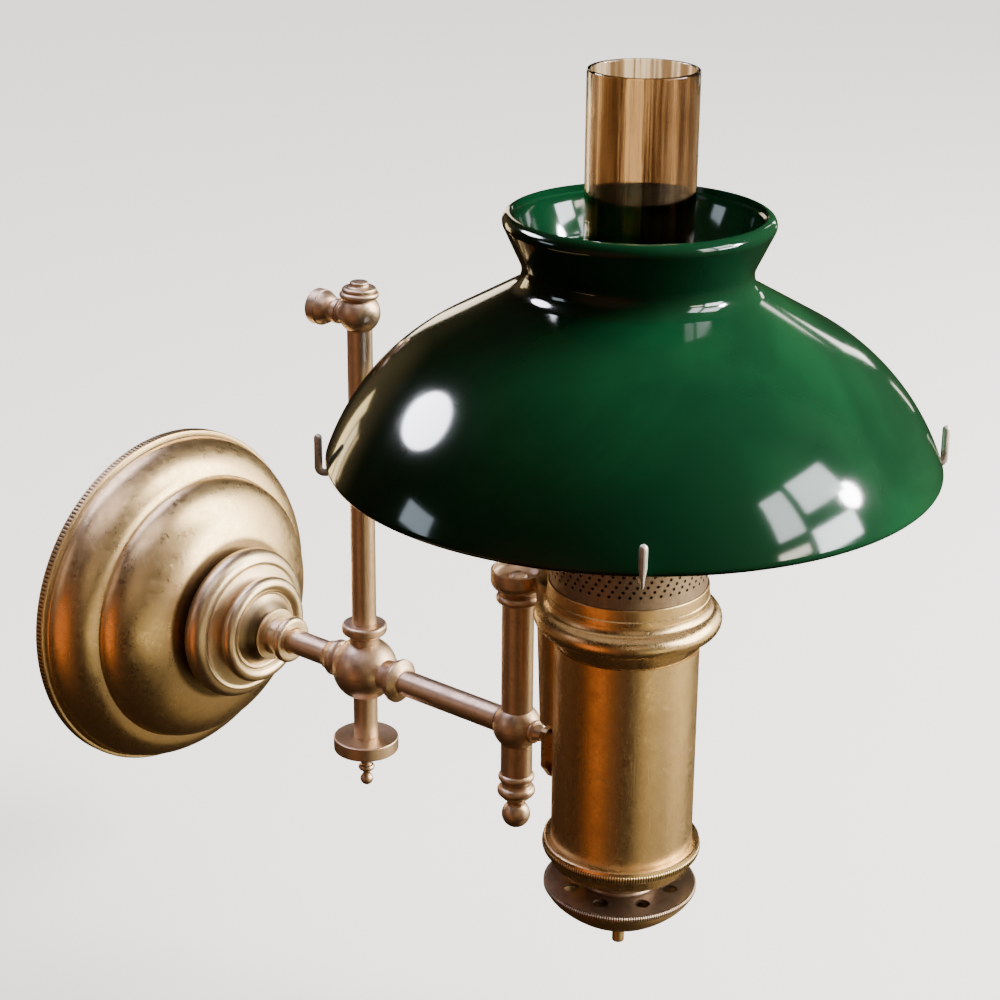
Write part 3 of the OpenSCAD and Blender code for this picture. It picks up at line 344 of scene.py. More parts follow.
def fresh_material(name):
    """An empty material with its shader, output and object coordinates."""
    material = bpy.data.materials.new(name)
    material.use_nodes = True
    tree = material.node_tree
    tree.nodes.clear()
    shader = tree.nodes.new("ShaderNodeBsdfPrincipled")
    output = tree.nodes.new("ShaderNodeOutputMaterial")
    tree.links.new(shader.outputs["BSDF"], output.inputs["Surface"])
    place = tree.nodes.new("ShaderNodeTexCoord").outputs["Object"]
    return material, tree, shader, place


def bump(tree, shader, height, distance, strength=1.0):
    """Relief from a height, in metres at full height."""
    node = put(tree, "ShaderNodeBump", Height=height, Distance=distance, Strength=strength)
    tree.links.new(node.outputs["Normal"], shader.inputs["Normal"])


def brass_material(name, finish, patina, gloss, lines=None, tone="brass"):
    """Aged brass of a tone in the finish, with optional relief lines, such as milling, whose second mask darkens the
    colour and can carry painted shadow.
    """
    material, tree, shader, place = fresh_material(name)
    shader.inputs["Metallic"].default_value = 1.0
    relief = lines(tree, place) if lines else None
    bright, middle = getattr(finish, tone + "_bright"), getattr(finish, tone + "_middle")
    sockets = {"Position": place, "Bright": tuple(bright) + (1,),
               "Middle": tuple(middle) + (1,), "Dark": tuple(finish.brass_dark) + (1,),
               "Patina": patina, "Gloss": gloss}
    if relief:
        sockets["Lines"] = relief[0]
    brass = use_group(tree, "Aged brass", **sockets)
    colour = brass["Color"]
    # The second mask darkens the colour: milled grooves, painted shadow beside seats and painted shade round the
    # gallery's holes
    if relief and relief[1] is not None:
        colour = blend_colours(tree, sums(tree, "MULTIPLY", relief[1], 0.8), colour,
                               tuple(finish.brass_dark) + (1,))
    tree.links.new(colour, shader.inputs["Base Color"])
    tree.links.new(brass["Roughness"], shader.inputs["Roughness"])
    bump(tree, shader, brass["Height"], 0.00005)
    return material


def milled(turning, count, low, high, across=False, axis=None, shaded_seats=()):
    """Relief for a milled rim, as a function of a material's tree and coordinates.

    Shaded seats gives the radii of seats, and how far out from each the painted shadow beside it reaches.
    """
    def build(tree, place):
        given = {"Position": place}
        if axis is not None:
            given["Axis"] = tuple(axis)
        turn = use_group(tree, turning, **given)
        rim = use_group(tree, "Milled rim", Angle=turn["Angle"], Count=float(count),
                        Place=turn["Radius"] if across else turn["Along"], From=low, To=high)
        groove_and_shadow = rim["Groove"]
        for seat, reach in shaded_seats:
            # Painted shadow: darker close to each seat, where the part standing on it would shade the surface
            seat_shadow = ramp(tree, turn["Radius"], seat + reach, seat + reach * 0.35)
            groove_and_shadow = sums(tree, "MAXIMUM", groove_and_shadow, seat_shadow)
        return sums(tree, "MULTIPLY", rim["Ridge"], 1.4), groove_and_shadow
    return build


def hole_shade_paint(finish):
    """Painted shade in and round the gallery's rows of holes, as a function of a material's tree and coordinates."""
    low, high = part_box("gallery")
    first = high.z - finish.mesh_top - (finish.mesh_rows - 1) * finish.mesh_pitch
    step = math.tau / finish.mesh_count

    def build(tree, place):
        turn = use_group(tree, "Upright turning", Position=place, Axis=tuple(LAMP_AXIS))
        rows = sums(tree, "DIVIDE", sums(tree, "SUBTRACT", turn["Along"], first), finish.mesh_pitch)
        row = sums(tree, "MINIMUM", sums(tree, "MAXIMUM", sums(tree, "ROUND", rows), 0.0), finish.mesh_rows - 1.0)
        rise = sums(tree, "MULTIPLY", sums(tree, "SUBTRACT", rows, row), finish.mesh_pitch)
        place_in_row = sums(tree, "SUBTRACT", sums(tree, "DIVIDE", sums(tree, "SUBTRACT", turn["Angle"],
                            finish.mesh_turn), step), sums(tree, "DIVIDE", row, 3.0))
        aside = sums(tree, "SUBTRACT", place_in_row, sums(tree, "ROUND", place_in_row))
        aside = sums(tree, "MULTIPLY", aside, step * (high.x - LAMP_AXIS.x))
        away = sums(tree, "SQRT", sums(tree, "ADD", sums(tree, "MULTIPLY", aside, aside),
                                       sums(tree, "MULTIPLY", rise, rise)))
        # Darker within a small radius of each hole: painted shade
        return 0.0, ramp(tree, away, finish.hole_shade_r, finish.hole_shade_r * 0.85)
    return build


def arc(centre, radius, start, end, count):
    """Points on an arc in (radius, height) coordinates, angles in degrees."""
    return [(centre[0] + radius * math.cos(math.radians(a)), centre[1] + radius * math.sin(math.radians(a)))
            for a in (start + (end - start) * i / count for i in range(count + 1))]


def rod_piece(name, paths, radius, body, lit_by):
    """Round rods with a domed end, each along a path of (place, tangent, share of full width)."""
    sides, corners, faces = 16, [], []
    for path, aside in paths:
        rings = [(place, along, wide, 1.0) for place, along, wide in path]
        end, along, wide = path[-1]
        rings += [(end + along * radius * math.sin(a), along, wide * math.cos(a), math.cos(a))
                  for a in (math.radians(d) for d in (25, 50, 70, 85))]
        first = len(corners)
        for place, along, wide, deep in rings:
            across = aside.cross(along).normalized()
            for i in range(sides):
                turn = math.tau * i / sides
                corners.append(place + aside * radius * wide * math.cos(turn) + across * radius * deep * math.sin(turn))
        for ring in range(len(rings) - 1):
            here = first + ring * sides
            for i in range(sides):
                j = (i + 1) % sides
                faces.append((here + i, here + j, here + sides + j, here + sides + i))
        faces.append(tuple(first + i for i in reversed(range(sides))))
        faces.append(tuple(len(corners) - sides + i for i in range(sides)))
    mesh = bpy.data.meshes.new(name)
    mesh.from_pydata(corners, [], faces)
    mesh.shade_smooth()
    piece = bpy.data.objects.new(name, mesh)
    bpy.context.scene.collection.objects.link(piece)
    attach(piece, body)
    for light in lit_by:
        LIT_PIECES[light].append(piece)
    return piece


def bend(start, end, leave, arrive, count):
    """Points on a curve between two points, with its directions at both ends."""
    points = []
    for t in (i / count for i in range(count + 1)):
        a, b = 2 * t ** 3 - 3 * t ** 2 + 1, t ** 3 - 2 * t ** 2 + t
        f, g = 3 * t ** 2 - 2 * t ** 3, t ** 3 - t ** 2
        points.append(tuple(a * p + b * d + f * q + g * e for p, d, q, e in zip(start, leave, end, arrive)))
    return points


def turned_piece(name, outline, segments, place, node, body, lit_by):
    """A glass or metal piece spun from a closed outline of (radius, along), standing for a CAD node if one is given."""
    count = len(outline)
    corners = []
    for step in range(segments):
        turn = math.tau * step / segments
        corners += [place @ Vector((r * math.cos(turn), r * math.sin(turn), z)) for r, z in outline]
    faces = []
    for step in range(segments):
        here, there = step * count, (step + 1) % segments * count
        for i in range(count):
            j = (i + 1) % count
            faces.append((here + i, there + i, there + j, here + j))
    mesh = bpy.data.meshes.new(name)
    mesh.from_pydata(corners, [], faces)
    mesh.shade_smooth()
    mesh.set_sharp_from_angle(angle=math.radians(38))
    piece = bpy.data.objects.new(name, mesh)
    bpy.context.scene.collection.objects.link(piece)
    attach(piece, body)
    if node:
        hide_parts(node)
    for light in lit_by:
        LIT_PIECES[light].append(piece)
    return piece


def smooth_turning(names):
    """Smooth normals over the narrow bands of turned metal, with its real edges kept sharp."""
    for name in names:
        modifiers = NODES[name].modifiers
        modifiers.new("weld", "WELD").merge_threshold = 0.000002
        modifiers.new("edges", "EDGE_SPLIT").split_angle = math.radians(30)
        modifiers.new("normals", "WEIGHTED_NORMAL").weight = 50


def dress(names, material):
    """Gives CAD nodes a finish in every material slot."""
    for name in names:
        slots = NODES[name].data.materials
        if not slots:
            slots.append(material)
        for index in range(len(slots)):
            slots[index] = material


# Settings


class LampFinish(bpy.types.PropertyGroup):
    """Colours and wear of the lamp's metal."""
    brass_bright: FloatVectorProperty(
        name="Rubbed brass", description="Brass where hands keep it bright", subtype="COLOR",
        default=(0.82, 0.62, 0.36))
    brass_middle: FloatVectorProperty(
        name="Brass", description="Brass under its tarnish", subtype="COLOR", default=(0.54, 0.365, 0.185))
    # Also the colour of the painted shadows beside the boss and the collar and round the gallery's holes
    brass_dark: FloatVectorProperty(
        name="Patina", description="Old grime in the crevices", subtype="COLOR", default=(0.055, 0.032, 0.016))
    dull_bright: FloatVectorProperty(
        name="Dull brass", description="Perforated brass that is never polished", subtype="COLOR",
        default=(0.46, 0.36, 0.29))
    dull_middle: FloatVectorProperty(
        name="Dull brass, stained", description="Stains on the unpolished brass", subtype="COLOR",
        default=(0.24, 0.17, 0.13))
    arm_bright: FloatVectorProperty(
        name="Arm bronze", description="Rubbed bronze of the arms and the post", subtype="COLOR",
        default=(0.80, 0.61, 0.45))
    arm_middle: FloatVectorProperty(
        name="Arm bronze, tarnished", description="Bronze of the arms under its tarnish", subtype="COLOR",
        default=(0.50, 0.34, 0.23))
    steel: FloatVectorProperty(
        name="Steel", description="Plated steel of the shade's arms", subtype="COLOR",
        default=(0.86, 0.81, 0.76))
    patina: FloatProperty(
        name="Patina amount", description="How much of the brass is tarnished", default=0.75, min=0, max=1)
    ring_bright: FloatVectorProperty(
        name="Ring brass", description="Rubbed brass of the boss, its cup and the root of the arm",
        subtype="COLOR", default=(0.78, 0.63, 0.44))
    ring_middle: FloatVectorProperty(
        name="Ring brass, tarnished", description="Brass of the boss under its tarnish", subtype="COLOR",
        default=(0.44, 0.31, 0.18))
    boss_bead: FloatProperty(name="Boss bead", description="Radius of the boss's bead", unit="LENGTH",
                             default=0.0061)
    boss_edge_r: FloatProperty(name="Boss edge", description="Radius of the fine edge in front of the bead",
                               unit="LENGTH", default=0.0321)
    boss_cove_r: FloatProperty(name="Boss cove", description="Radius where the cove ends", unit="LENGTH",
                               default=0.0229)
    boss_bore: FloatProperty(name="Boss bore", description="Radius of the boss's bore", unit="LENGTH",
                             default=0.005)
    # How far the painted shadow reaches out beside the boss's seat and beside the root collar's seat
    seat_shadow_reach: FloatProperty(
        name="Gap beside the boss", description="How far the grime reaches out from the boss's seat", unit="LENGTH",
        default=0.0045, min=0, max=0.02)
    column_r: FloatProperty(name="Column radius", description="Outer radius of the column", unit="LENGTH",
                            default=0.0071)
    cup_r: FloatProperty(name="Column cup", description="Radius of the cup's rim", unit="LENGTH", default=0.0121)
    cup_wall: FloatProperty(name="Column cup wall", description="Thickness of the cup's sheet", unit="LENGTH",
                            default=0.001)
    cup_depth: FloatProperty(name="Column cup depth", description="Depth of the cup", unit="LENGTH",
                             default=0.005)
    cup_ring: FloatProperty(name="Column cup ring", description="Radius of the round ring under the cup",
                            unit="LENGTH", default=0.0021)
    cup_hole: FloatProperty(name="Column cup hole", description="Radius of the hole for the spindle",
                            unit="LENGTH", default=0.00255)
    font_bead: FloatProperty(name="Font bead", description="Radius of the bead on the font's shoulder",
                             unit="LENGTH", default=0.0053)
    font_bead_out: FloatProperty(name="Font bead reach", description="Outer radius of the bead", unit="LENGTH",
                                 default=0.0396)
    font_bead_z: FloatProperty(name="Font bead height", description="Height of the bead's centre", unit="LENGTH",
                               default=0.0715)
    hook_angles: FloatVectorProperty(name="Shade arms", description="Angles of the shade arms, in degrees", size=4,
                                     default=(45.0, 135.5, 218.0, 310.5))
    hook_r: FloatProperty(name="Hook place", description="Distance of the hooks from the lamp's axis",
                          unit="LENGTH", default=0.1278)
    hook_thick: FloatProperty(name="Hook radius", description="Radius of the hooks' rod", unit="LENGTH",
                              default=0.00165)
    hook_low: FloatProperty(name="Hook foot", description="Height of the middle of the hooks' foot",
                            unit="LENGTH", default=0.1387)
    hook_top: FloatProperty(name="Hook top", description="Height of the hooks' tips", unit="LENGTH",
                            default=0.1552)
    mesh_count: IntProperty(name="Gallery holes", description="Holes in one row round the gallery", default=48)
    mesh_rows: IntProperty(name="Gallery rows", description="Rows of holes in the gallery", default=5)
    mesh_pitch: FloatProperty(name="Row pitch", description="Distance between two rows of holes", unit="LENGTH",
                              default=0.0022)
    mesh_top: FloatProperty(name="Top row", description="Distance from the gallery's top to its top row",
                            unit="LENGTH", default=0.0024)
    mesh_turn: FloatProperty(name="Row turn", description="Angle of the first hole", subtype="ANGLE",
                             default=math.radians(217.2))
    # Radius of the painted shade round each gallery hole
    hole_shade_r: FloatProperty(name="Hole grime", description="Radius of the grime round a hole", unit="LENGTH",
                             default=0.00078)
    rim_ridges: IntProperty(
        name="Rose ridges", description="Milled ridges round the rose's rim", default=260, min=100, max=400)


class LampGlass(bpy.types.PropertyGroup):
    """Sizes and colours of the lamp's glass."""
    shade_r: FloatProperty(name="Shade radius", description="Outer radius of the shade's rim", unit="LENGTH",
                           default=0.1257)
    shade_z: FloatProperty(name="Shade rim", description="Height of the shade's rim", unit="LENGTH", default=0.141)
    dome_r: FloatProperty(name="Dome curve", description="Radius of the dome's curve", unit="LENGTH", default=0.096)
    cone_angle: FloatProperty(name="Cone", description="Steepness of the cone, in degrees from upright",
                              default=60.5)
    neck_r: FloatProperty(name="Neck radius", description="Outer radius of the neck", unit="LENGTH", default=0.0462)
    neck_curve: FloatProperty(name="Neck curve", description="Radius of the neck's hollow curve", unit="LENGTH",
                              default=0.009)
    flare_angle: FloatProperty(name="Flare", description="Lean of the neck's flare, in degrees from upright",
                               default=25.0)
    lip_r: FloatProperty(name="Lip radius", description="Outer radius of the lip", unit="LENGTH", default=0.0541)
    lip_bead: FloatProperty(name="Lip bead", description="Radius of the lip's rounding", unit="LENGTH",
                            default=0.0039)
    shade_t: FloatProperty(name="Shade glass", description="Thickness of the shade's glass", unit="LENGTH",
                           default=0.0032)
    chimney_r: FloatProperty(name="Chimney radius", description="Outer radius of the chimney", unit="LENGTH",
                             default=0.022)
    chimney_foot_r: FloatProperty(name="Chimney foot", description="Outer radius of the chimney's foot",
                                  unit="LENGTH", default=0.0255)
    bulb_h: FloatProperty(name="Chimney bulb", description="Height of the bulb at the chimney's foot",
                          unit="LENGTH", default=0.03)
    taper_len: FloatProperty(name="Chimney taper", description="Length of the taper above the bulb",
                             unit="LENGTH", default=0.012)
    chimney_t: FloatProperty(name="Chimney glass", description="Thickness of the chimney's glass", unit="LENGTH",
                             default=0.0016)
    shade_colour: FloatVectorProperty(
        name="Shade", description="Cased glass of the shade", subtype="COLOR", default=(0.003, 0.038, 0.014))
    shade_light: FloatVectorProperty(
        name="Shade, thin", description="Shade where light shows in the glass", subtype="COLOR",
        default=(0.007, 0.068, 0.023))
    # Amber tint of the chimney: a painted reflection of a warm room in clear glass
    chimney_reflection_tint: FloatVectorProperty(
        name="Chimney", description="Clear glass of the chimney", subtype="COLOR", default=(0.66, 0.48, 0.28))
    # Dark upright streaks on the chimney: painted reflection
    chimney_reflection_streak: FloatVectorProperty(
        name="Chimney streaks", description="Smoked streaks up the chimney", subtype="COLOR",
        default=(0.17, 0.095, 0.04))


class LampStudio(bpy.types.PropertyGroup):
    """The camera and the stage."""
    focal_length: FloatProperty(
        name="Focal length", description="Camera lens, in millimetres", default=81.59, min=20, max=200)
    look_down: FloatProperty(
        name="Look down", description="Camera pitch", subtype="ANGLE", default=math.radians(21.17))
    roll: FloatProperty(
        name="Roll", description="Camera roll", subtype="ANGLE", default=math.radians(0.436))
    look_turn: FloatProperty(
        name="Look turn", description="Camera's turn from straight at the wall", subtype="ANGLE",
        default=math.radians(-50.645))
    stand: FloatVectorProperty(
        name="Camera place", description="Camera's place from the lamp's axis", subtype="TRANSLATION",
        unit="LENGTH", default=(-0.7064, -0.5096, 0.4588))
    floor_drop: FloatProperty(
        name="Floor drop", description="Gap under the lamp's pin", unit="LENGTH", default=0.06)
    floor_colour: FloatVectorProperty(
        name="Floor", description="Pale floor", subtype="COLOR", default=(0.80, 0.785, 0.76))
    floor_glow: FloatProperty(
        name="Floor light", description="Even light on the floor", default=2.0, min=0, max=10)
    air_colour: FloatVectorProperty(
        name="Air", description="Pale air behind the lamp", subtype="COLOR", default=(0.86, 0.85, 0.83))
    air_glow: FloatProperty(
        name="Air light", description="Brightness of the air behind the lamp", default=2.6, min=0, max=10)


# Operators


class LAMP_OT_shared_effects(bpy.types.Operator):
    """Builds the node groups that the finishes share"""
    bl_idname = "lamp.shared_effects"
    bl_label = "Build shared effects"

    def execute(self, context):
        build_turning_group()
        build_wall_turning_group()
        build_wear_group()
        build_tarnish_group()
        build_aged_brass_group()
        build_milling_group()
        build_handled_glass_group()
        return {"FINISHED"}


class LAMP_OT_rose_finish(bpy.types.Operator):
    """Aged spun brass on the wall rose, with its milled rim"""
    bl_idname = "lamp.rose_finish"
    bl_label = "Finish the wall rose"

    def execute(self, context):
        finish = context.scene.lamp_finish
        boss_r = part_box("rose_boss")[1].x
        # The rose's rim gets its milled ridges and a painted shadow beside the boss
        rim = milled("Wall turning", finish.rim_ridges, 0.0006, 0.0036, shaded_seats=((boss_r, finish.seat_shadow_reach),))
        dress(["wall_rose"], brass_material("rose_brass", finish, finish.patina * 0.75, 0.31, rim))
        smooth_turning(ROSE_NODES)
        ring_brass = brass_material("boss_brass", finish, finish.patina * 0.7, 0.35, tone="ring")
        dress(ROSE_NODES[2:], ring_brass)
        collar_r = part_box("root_collar")[1].x
        # The dish gets only a painted shadow beside the root collar
        collar_shadow = milled("Wall turning", 1, 0, 0, shaded_seats=((collar_r, finish.seat_shadow_reach),))
        dress(["rose_cup"], brass_material("dish_brass", finish, finish.patina * 0.7, 0.35, collar_shadow, tone="ring"))
        boss = turned_piece("boss_ring", self.boss_outline(finish), 256, ON_ARM, "rose_boss", "wall",
                            ("metal", "rose", "sheet"))
        boss.data.materials.append(ring_brass)
        return {"FINISHED"}

    def boss_outline(self, finish):
        """The section of the boss: its full bead, the fine edge in front of it and the cove up to the cup."""
        low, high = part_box("rose_boss")
        seat, top, bead, edge_r = -high.y, -low.y, finish.boss_bead, finish.boss_edge_r
        bead_r = high.x - bead
        edge = seat + 2 * bead
        return ([(finish.boss_bore, seat), (bead_r - bead * 0.3, seat)]
                + arc((bead_r, seat + bead), bead, -100, 80, 24)
                + [(edge_r, edge + 0.0003), (edge_r - 0.0006, edge + 0.0003)]
                + bend((edge_r - 0.0012, edge), (finish.boss_cove_r, top), (-0.006, 0.0003), (-0.001, 0.002), 12)
                + [(finish.boss_bore, top)])


class LAMP_OT_bracket_finish(bpy.types.Operator):
    """Aged turned brass on the arms, the post and the column"""
    bl_idname = "lamp.bracket_finish"
    bl_label = "Finish the bracket"

    def execute(self, context):
        finish = context.scene.lamp_finish
        bracket = brass_material("bracket_brass", finish, finish.patina * 0.85, 0.38, tone="arm")
        smooth_turning(POST_NODES + COLUMN_NODES + ARM_NODES)
        dress(POST_NODES + COLUMN_NODES + ARM_NODES, bracket)
        cup = turned_piece("cup_bowl", self.cup_outline(finish), 128, AT_COLUMN, "column_cup", "lamp",
                           ("metal",))
        cup.data.materials.append(bracket)
        return {"FINISHED"}

    def cup_outline(self, finish):
        """The section of the column's cup: a round ring, a narrow waist and a deep bowl with a rolled rim."""
        low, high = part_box("column_cup")
        column_r, rim_r, wall, ring = finish.column_r, finish.cup_r, finish.cup_wall, finish.cup_ring
        hole, floor = finish.cup_hole, high.z - finish.cup_depth
        ring_z = low.z + ring + 0.0003
        waist = ring_z + ring + 0.0006
        return ([(hole, low.z), (column_r + 0.0002, low.z)]
                + arc((column_r + 0.0006, ring_z), ring, -75, 75, 12)
                + [(column_r - 0.0001, waist), (column_r + 0.0001, waist + 0.0006)]
                + bend((column_r + 0.0006, waist + 0.0008), (rim_r, high.z - 0.0054), (0.007, 0.0002),
                       (0.0002, 0.006), 14)
                + arc((rim_r - wall / 2, high.z - wall / 2), wall / 2, 0, 180, 8)
                + bend((rim_r - wall, high.z - 0.0024), (column_r + 0.0006, floor), (-0.0006, -0.002),
                       (-0.003, -0.0006), 8)
                + [(hole, floor)])


class LAMP_OT_font_finish(bpy.types.Operator):
    """Aged sheet brass on the font, its rings, the gallery and the drip cup"""
    bl_idname = "lamp.font_finish"
    bl_label = "Finish the font"

    def execute(self, context):
        finish = context.scene.lamp_finish
        smooth_turning(FONT_NODES + WORN_NODES + PIERCED_NODES)
        font_brass = brass_material("font_brass", finish, finish.patina, 0.28)
        dress(FONT_NODES, font_brass)
        bead = turned_piece("bead_ring", self.bead_outline(finish), 256, AT_LAMP, None, "lamp",
                            ("metal", "sheet"))
        bead.data.materials.append(font_brass)
        low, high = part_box("base_ring")
        band = milled("Upright turning", 190, high.z - 0.0048, high.z - 0.0016, axis=LAMP_AXIS)
        dress(["base_ring"], brass_material("base_brass", finish, finish.patina * 0.9, 0.28, band))
        low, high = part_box("drip_disc")
        edge_r = (high.x - low.x) / 2
        band = milled("Upright turning", 200, edge_r - 0.0016, edge_r + 0.001, across=True, axis=LAMP_AXIS)
        dress(["drip_disc"], brass_material("drip_disc_brass", finish, finish.patina, 0.36, band, tone="dull"))
        dress(WORN_NODES[1:], brass_material("drip_bowl_brass", finish, finish.patina, 0.33))
        dress(PIERCED_NODES, brass_material("deck_brass", finish, finish.patina, 0.42, tone="dull"))
        # The gallery gets painted shade round its holes
        dress(["gallery"], brass_material("gallery_brass", finish, finish.patina, 0.42, hole_shade_paint(finish),
                                          tone="dull"))
        return {"FINISHED"}


    def bead_outline(self, finish):
        """The section of the full bead on the font's shoulder, with its cove up to the collar ring."""
        bead, rise = finish.font_bead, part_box("collar_ring")[0].z
        centre = (finish.font_bead_out - bead, finish.font_bead_z)
        ring_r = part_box("collar_ring")[1].x - LAMP_AXIS.x
        back = centre[0] - 0.0022
        rim = arc(centre, bead, -85, 68, 24)
        return ([(back, centre[1] - bead * 0.9)] + rim
                + bend(rim[-1], (ring_r + 0.0002, rise + 0.0024), (-0.004, 0.0014), (0.0, 0.0034), 12)[1:]
                + [(ring_r - 0.0007, rise + 0.0024), (back, centre[1])])


class LAMP_OT_burner_finish(bpy.types.Operator):
    """Sooted brass on the burner's inner tubes"""
    bl_idname = "lamp.burner_finish"
    bl_label = "Finish the burner"

    def execute(self, context):
        finish = context.scene.lamp_finish
        material, tree, shader, place = fresh_material("sooted_brass")
        shader.inputs["Metallic"].default_value = 1.0
        along = use_group(tree, "Upright turning", Position=place, Axis=tuple(LAMP_AXIS))["Along"]
        brass = use_group(tree, "Aged brass", Position=place, Bright=tuple(finish.brass_middle) + (1,),
                          Middle=tuple(finish.brass_dark) + (1,), Dark=(0.01, 0.009, 0.008, 1), Patina=1.0,
                          Gloss=0.42)
        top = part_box("flame_spreader")[1].z
        smoke = noise(tree, place, 300.0, 4.0)
        soot = ramp(tree, sums(tree, "ADD", along, sums(tree, "MULTIPLY", smoke, 0.01)), top - 0.02, top + 0.003)
        colour = blend_colours(tree, soot, brass["Color"], (0.012, 0.011, 0.010, 1))
        tree.links.new(colour, shader.inputs["Base Color"])
        tree.links.new(sums(tree, "MAXIMUM", brass["Roughness"], soot), shader.inputs["Roughness"])
        bump(tree, shader, brass["Height"], 0.00015)
        dress(SOOTED_NODES, material)
        return {"FINISHED"}


class LAMP_OT_steel_finish(bpy.types.Operator):
    """Dull plated steel on the shade's arms, the strap and the spindle"""
    bl_idname = "lamp.steel_finish"
    bl_label = "Finish the steel"

    def execute(self, context):
        finish = context.scene.lamp_finish
        steel = tuple(finish.steel) + (1,)
        material, tree, shader, place = fresh_material("plated_steel")
        shader.inputs["Metallic"].default_value = 0.4
        old = use_group(tree, "Aged brass", Position=place, Bright=steel,
                        Middle=tuple(c * 0.62 for c in finish.steel) + (1,),
                        Dark=tuple(finish.brass_dark) + (1,), Patina=0.8, Gloss=0.30)
        tree.links.new(old["Color"], shader.inputs["Base Color"])
        tree.links.new(old["Roughness"], shader.inputs["Roughness"])
        bump(tree, shader, old["Height"], 0.0001)
        dress(STEEL_NODES + ARM_STEEL_NODES, material)
        arms = rod_piece("arm_rods", [self.arm_path(finish, math.radians(a)) for a in finish.hook_angles],
                         finish.hook_thick, "gallery", ("metal",))
        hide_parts("shade_arms")
        arms.data.materials.append(material)
        return {"FINISHED"}

    def arm_path(self, finish, angle):
        """The way of one arm's rod out from the shade ring, round its foot and up the shade's edge."""
        out, aside = Vector((math.cos(angle), math.sin(angle), 0)), Vector((-math.sin(angle), math.cos(angle), 0))
        low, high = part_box("shade_ring")
        turn, foot = 0.0024, (finish.hook_r, finish.hook_low)
        points = [(high.x - LAMP_AXIS.x - 0.002, high.z + finish.hook_thick * 0.8, 1.0),
                  (finish.hook_r - 0.009, foot[1] - 0.0004, 1.0), (finish.hook_r - 0.005, foot[1], 0.8)]
        points += [(r, z, 0.45) for r, z in arc((foot[0] - turn, foot[1] + turn), turn, -90, 0, 6)]
        points += [(foot[0], foot[1] + turn + 0.0025, 0.8), (foot[0], foot[1] + turn + 0.005, 1.0),
                   (foot[0], finish.hook_top - finish.hook_thick, 1.0)]
        places = [LAMP_AXIS * 1.0 + out * r for r, z, wide in points]
        for place, (r, z, wide) in zip(places, points):
            place.z = z
        last = len(places) - 1
        along = [(places[min(i + 1, last)] - places[max(i - 1, 0)]).normalized() for i in range(last + 1)]
        return [(p, d, wide) for p, d, (r, z, wide) in zip(places, along, points)], aside


class LAMP_OT_wick_finish(bpy.types.Operator):
    """Woven cotton with a charred top on the wick"""
    bl_idname = "lamp.wick_finish"
    bl_label = "Finish the wick"

    def execute(self, context):
        material, tree, shader, place = fresh_material("wick_cotton")
        turn = use_group(tree, "Upright turning", Position=place, Axis=tuple(LAMP_AXIS))
        ribs = sums(tree, "SINE", sums(tree, "MULTIPLY", turn["Angle"], 90.0))
        rows = sums(tree, "SINE", sums(tree, "MULTIPLY", turn["Along"], 6500.0))
        weave = sums(tree, "MULTIPLY", ribs, rows)
        fuzz = noise(tree, place, 1800.0, 3.0)
        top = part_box("wick")[1].z
        burnt = ramp(tree, sums(tree, "ADD", turn["Along"], sums(tree, "MULTIPLY", fuzz, 0.003)),
                     top - 0.004, top + 0.001)
        cotton = blend_colours(tree, ramp(tree, weave, -1.0, 1.0), (0.42, 0.37, 0.27, 1), (0.74, 0.69, 0.56, 1))
        tree.links.new(blend_colours(tree, burnt, cotton, (0.012, 0.010, 0.009, 1)), shader.inputs["Base Color"])
        shader.inputs["Roughness"].default_value = 0.95
        bump(tree, shader, sums(tree, "ADD", weave, fuzz), 0.0003)
        dress(["wick"], material)
        return {"FINISHED"}


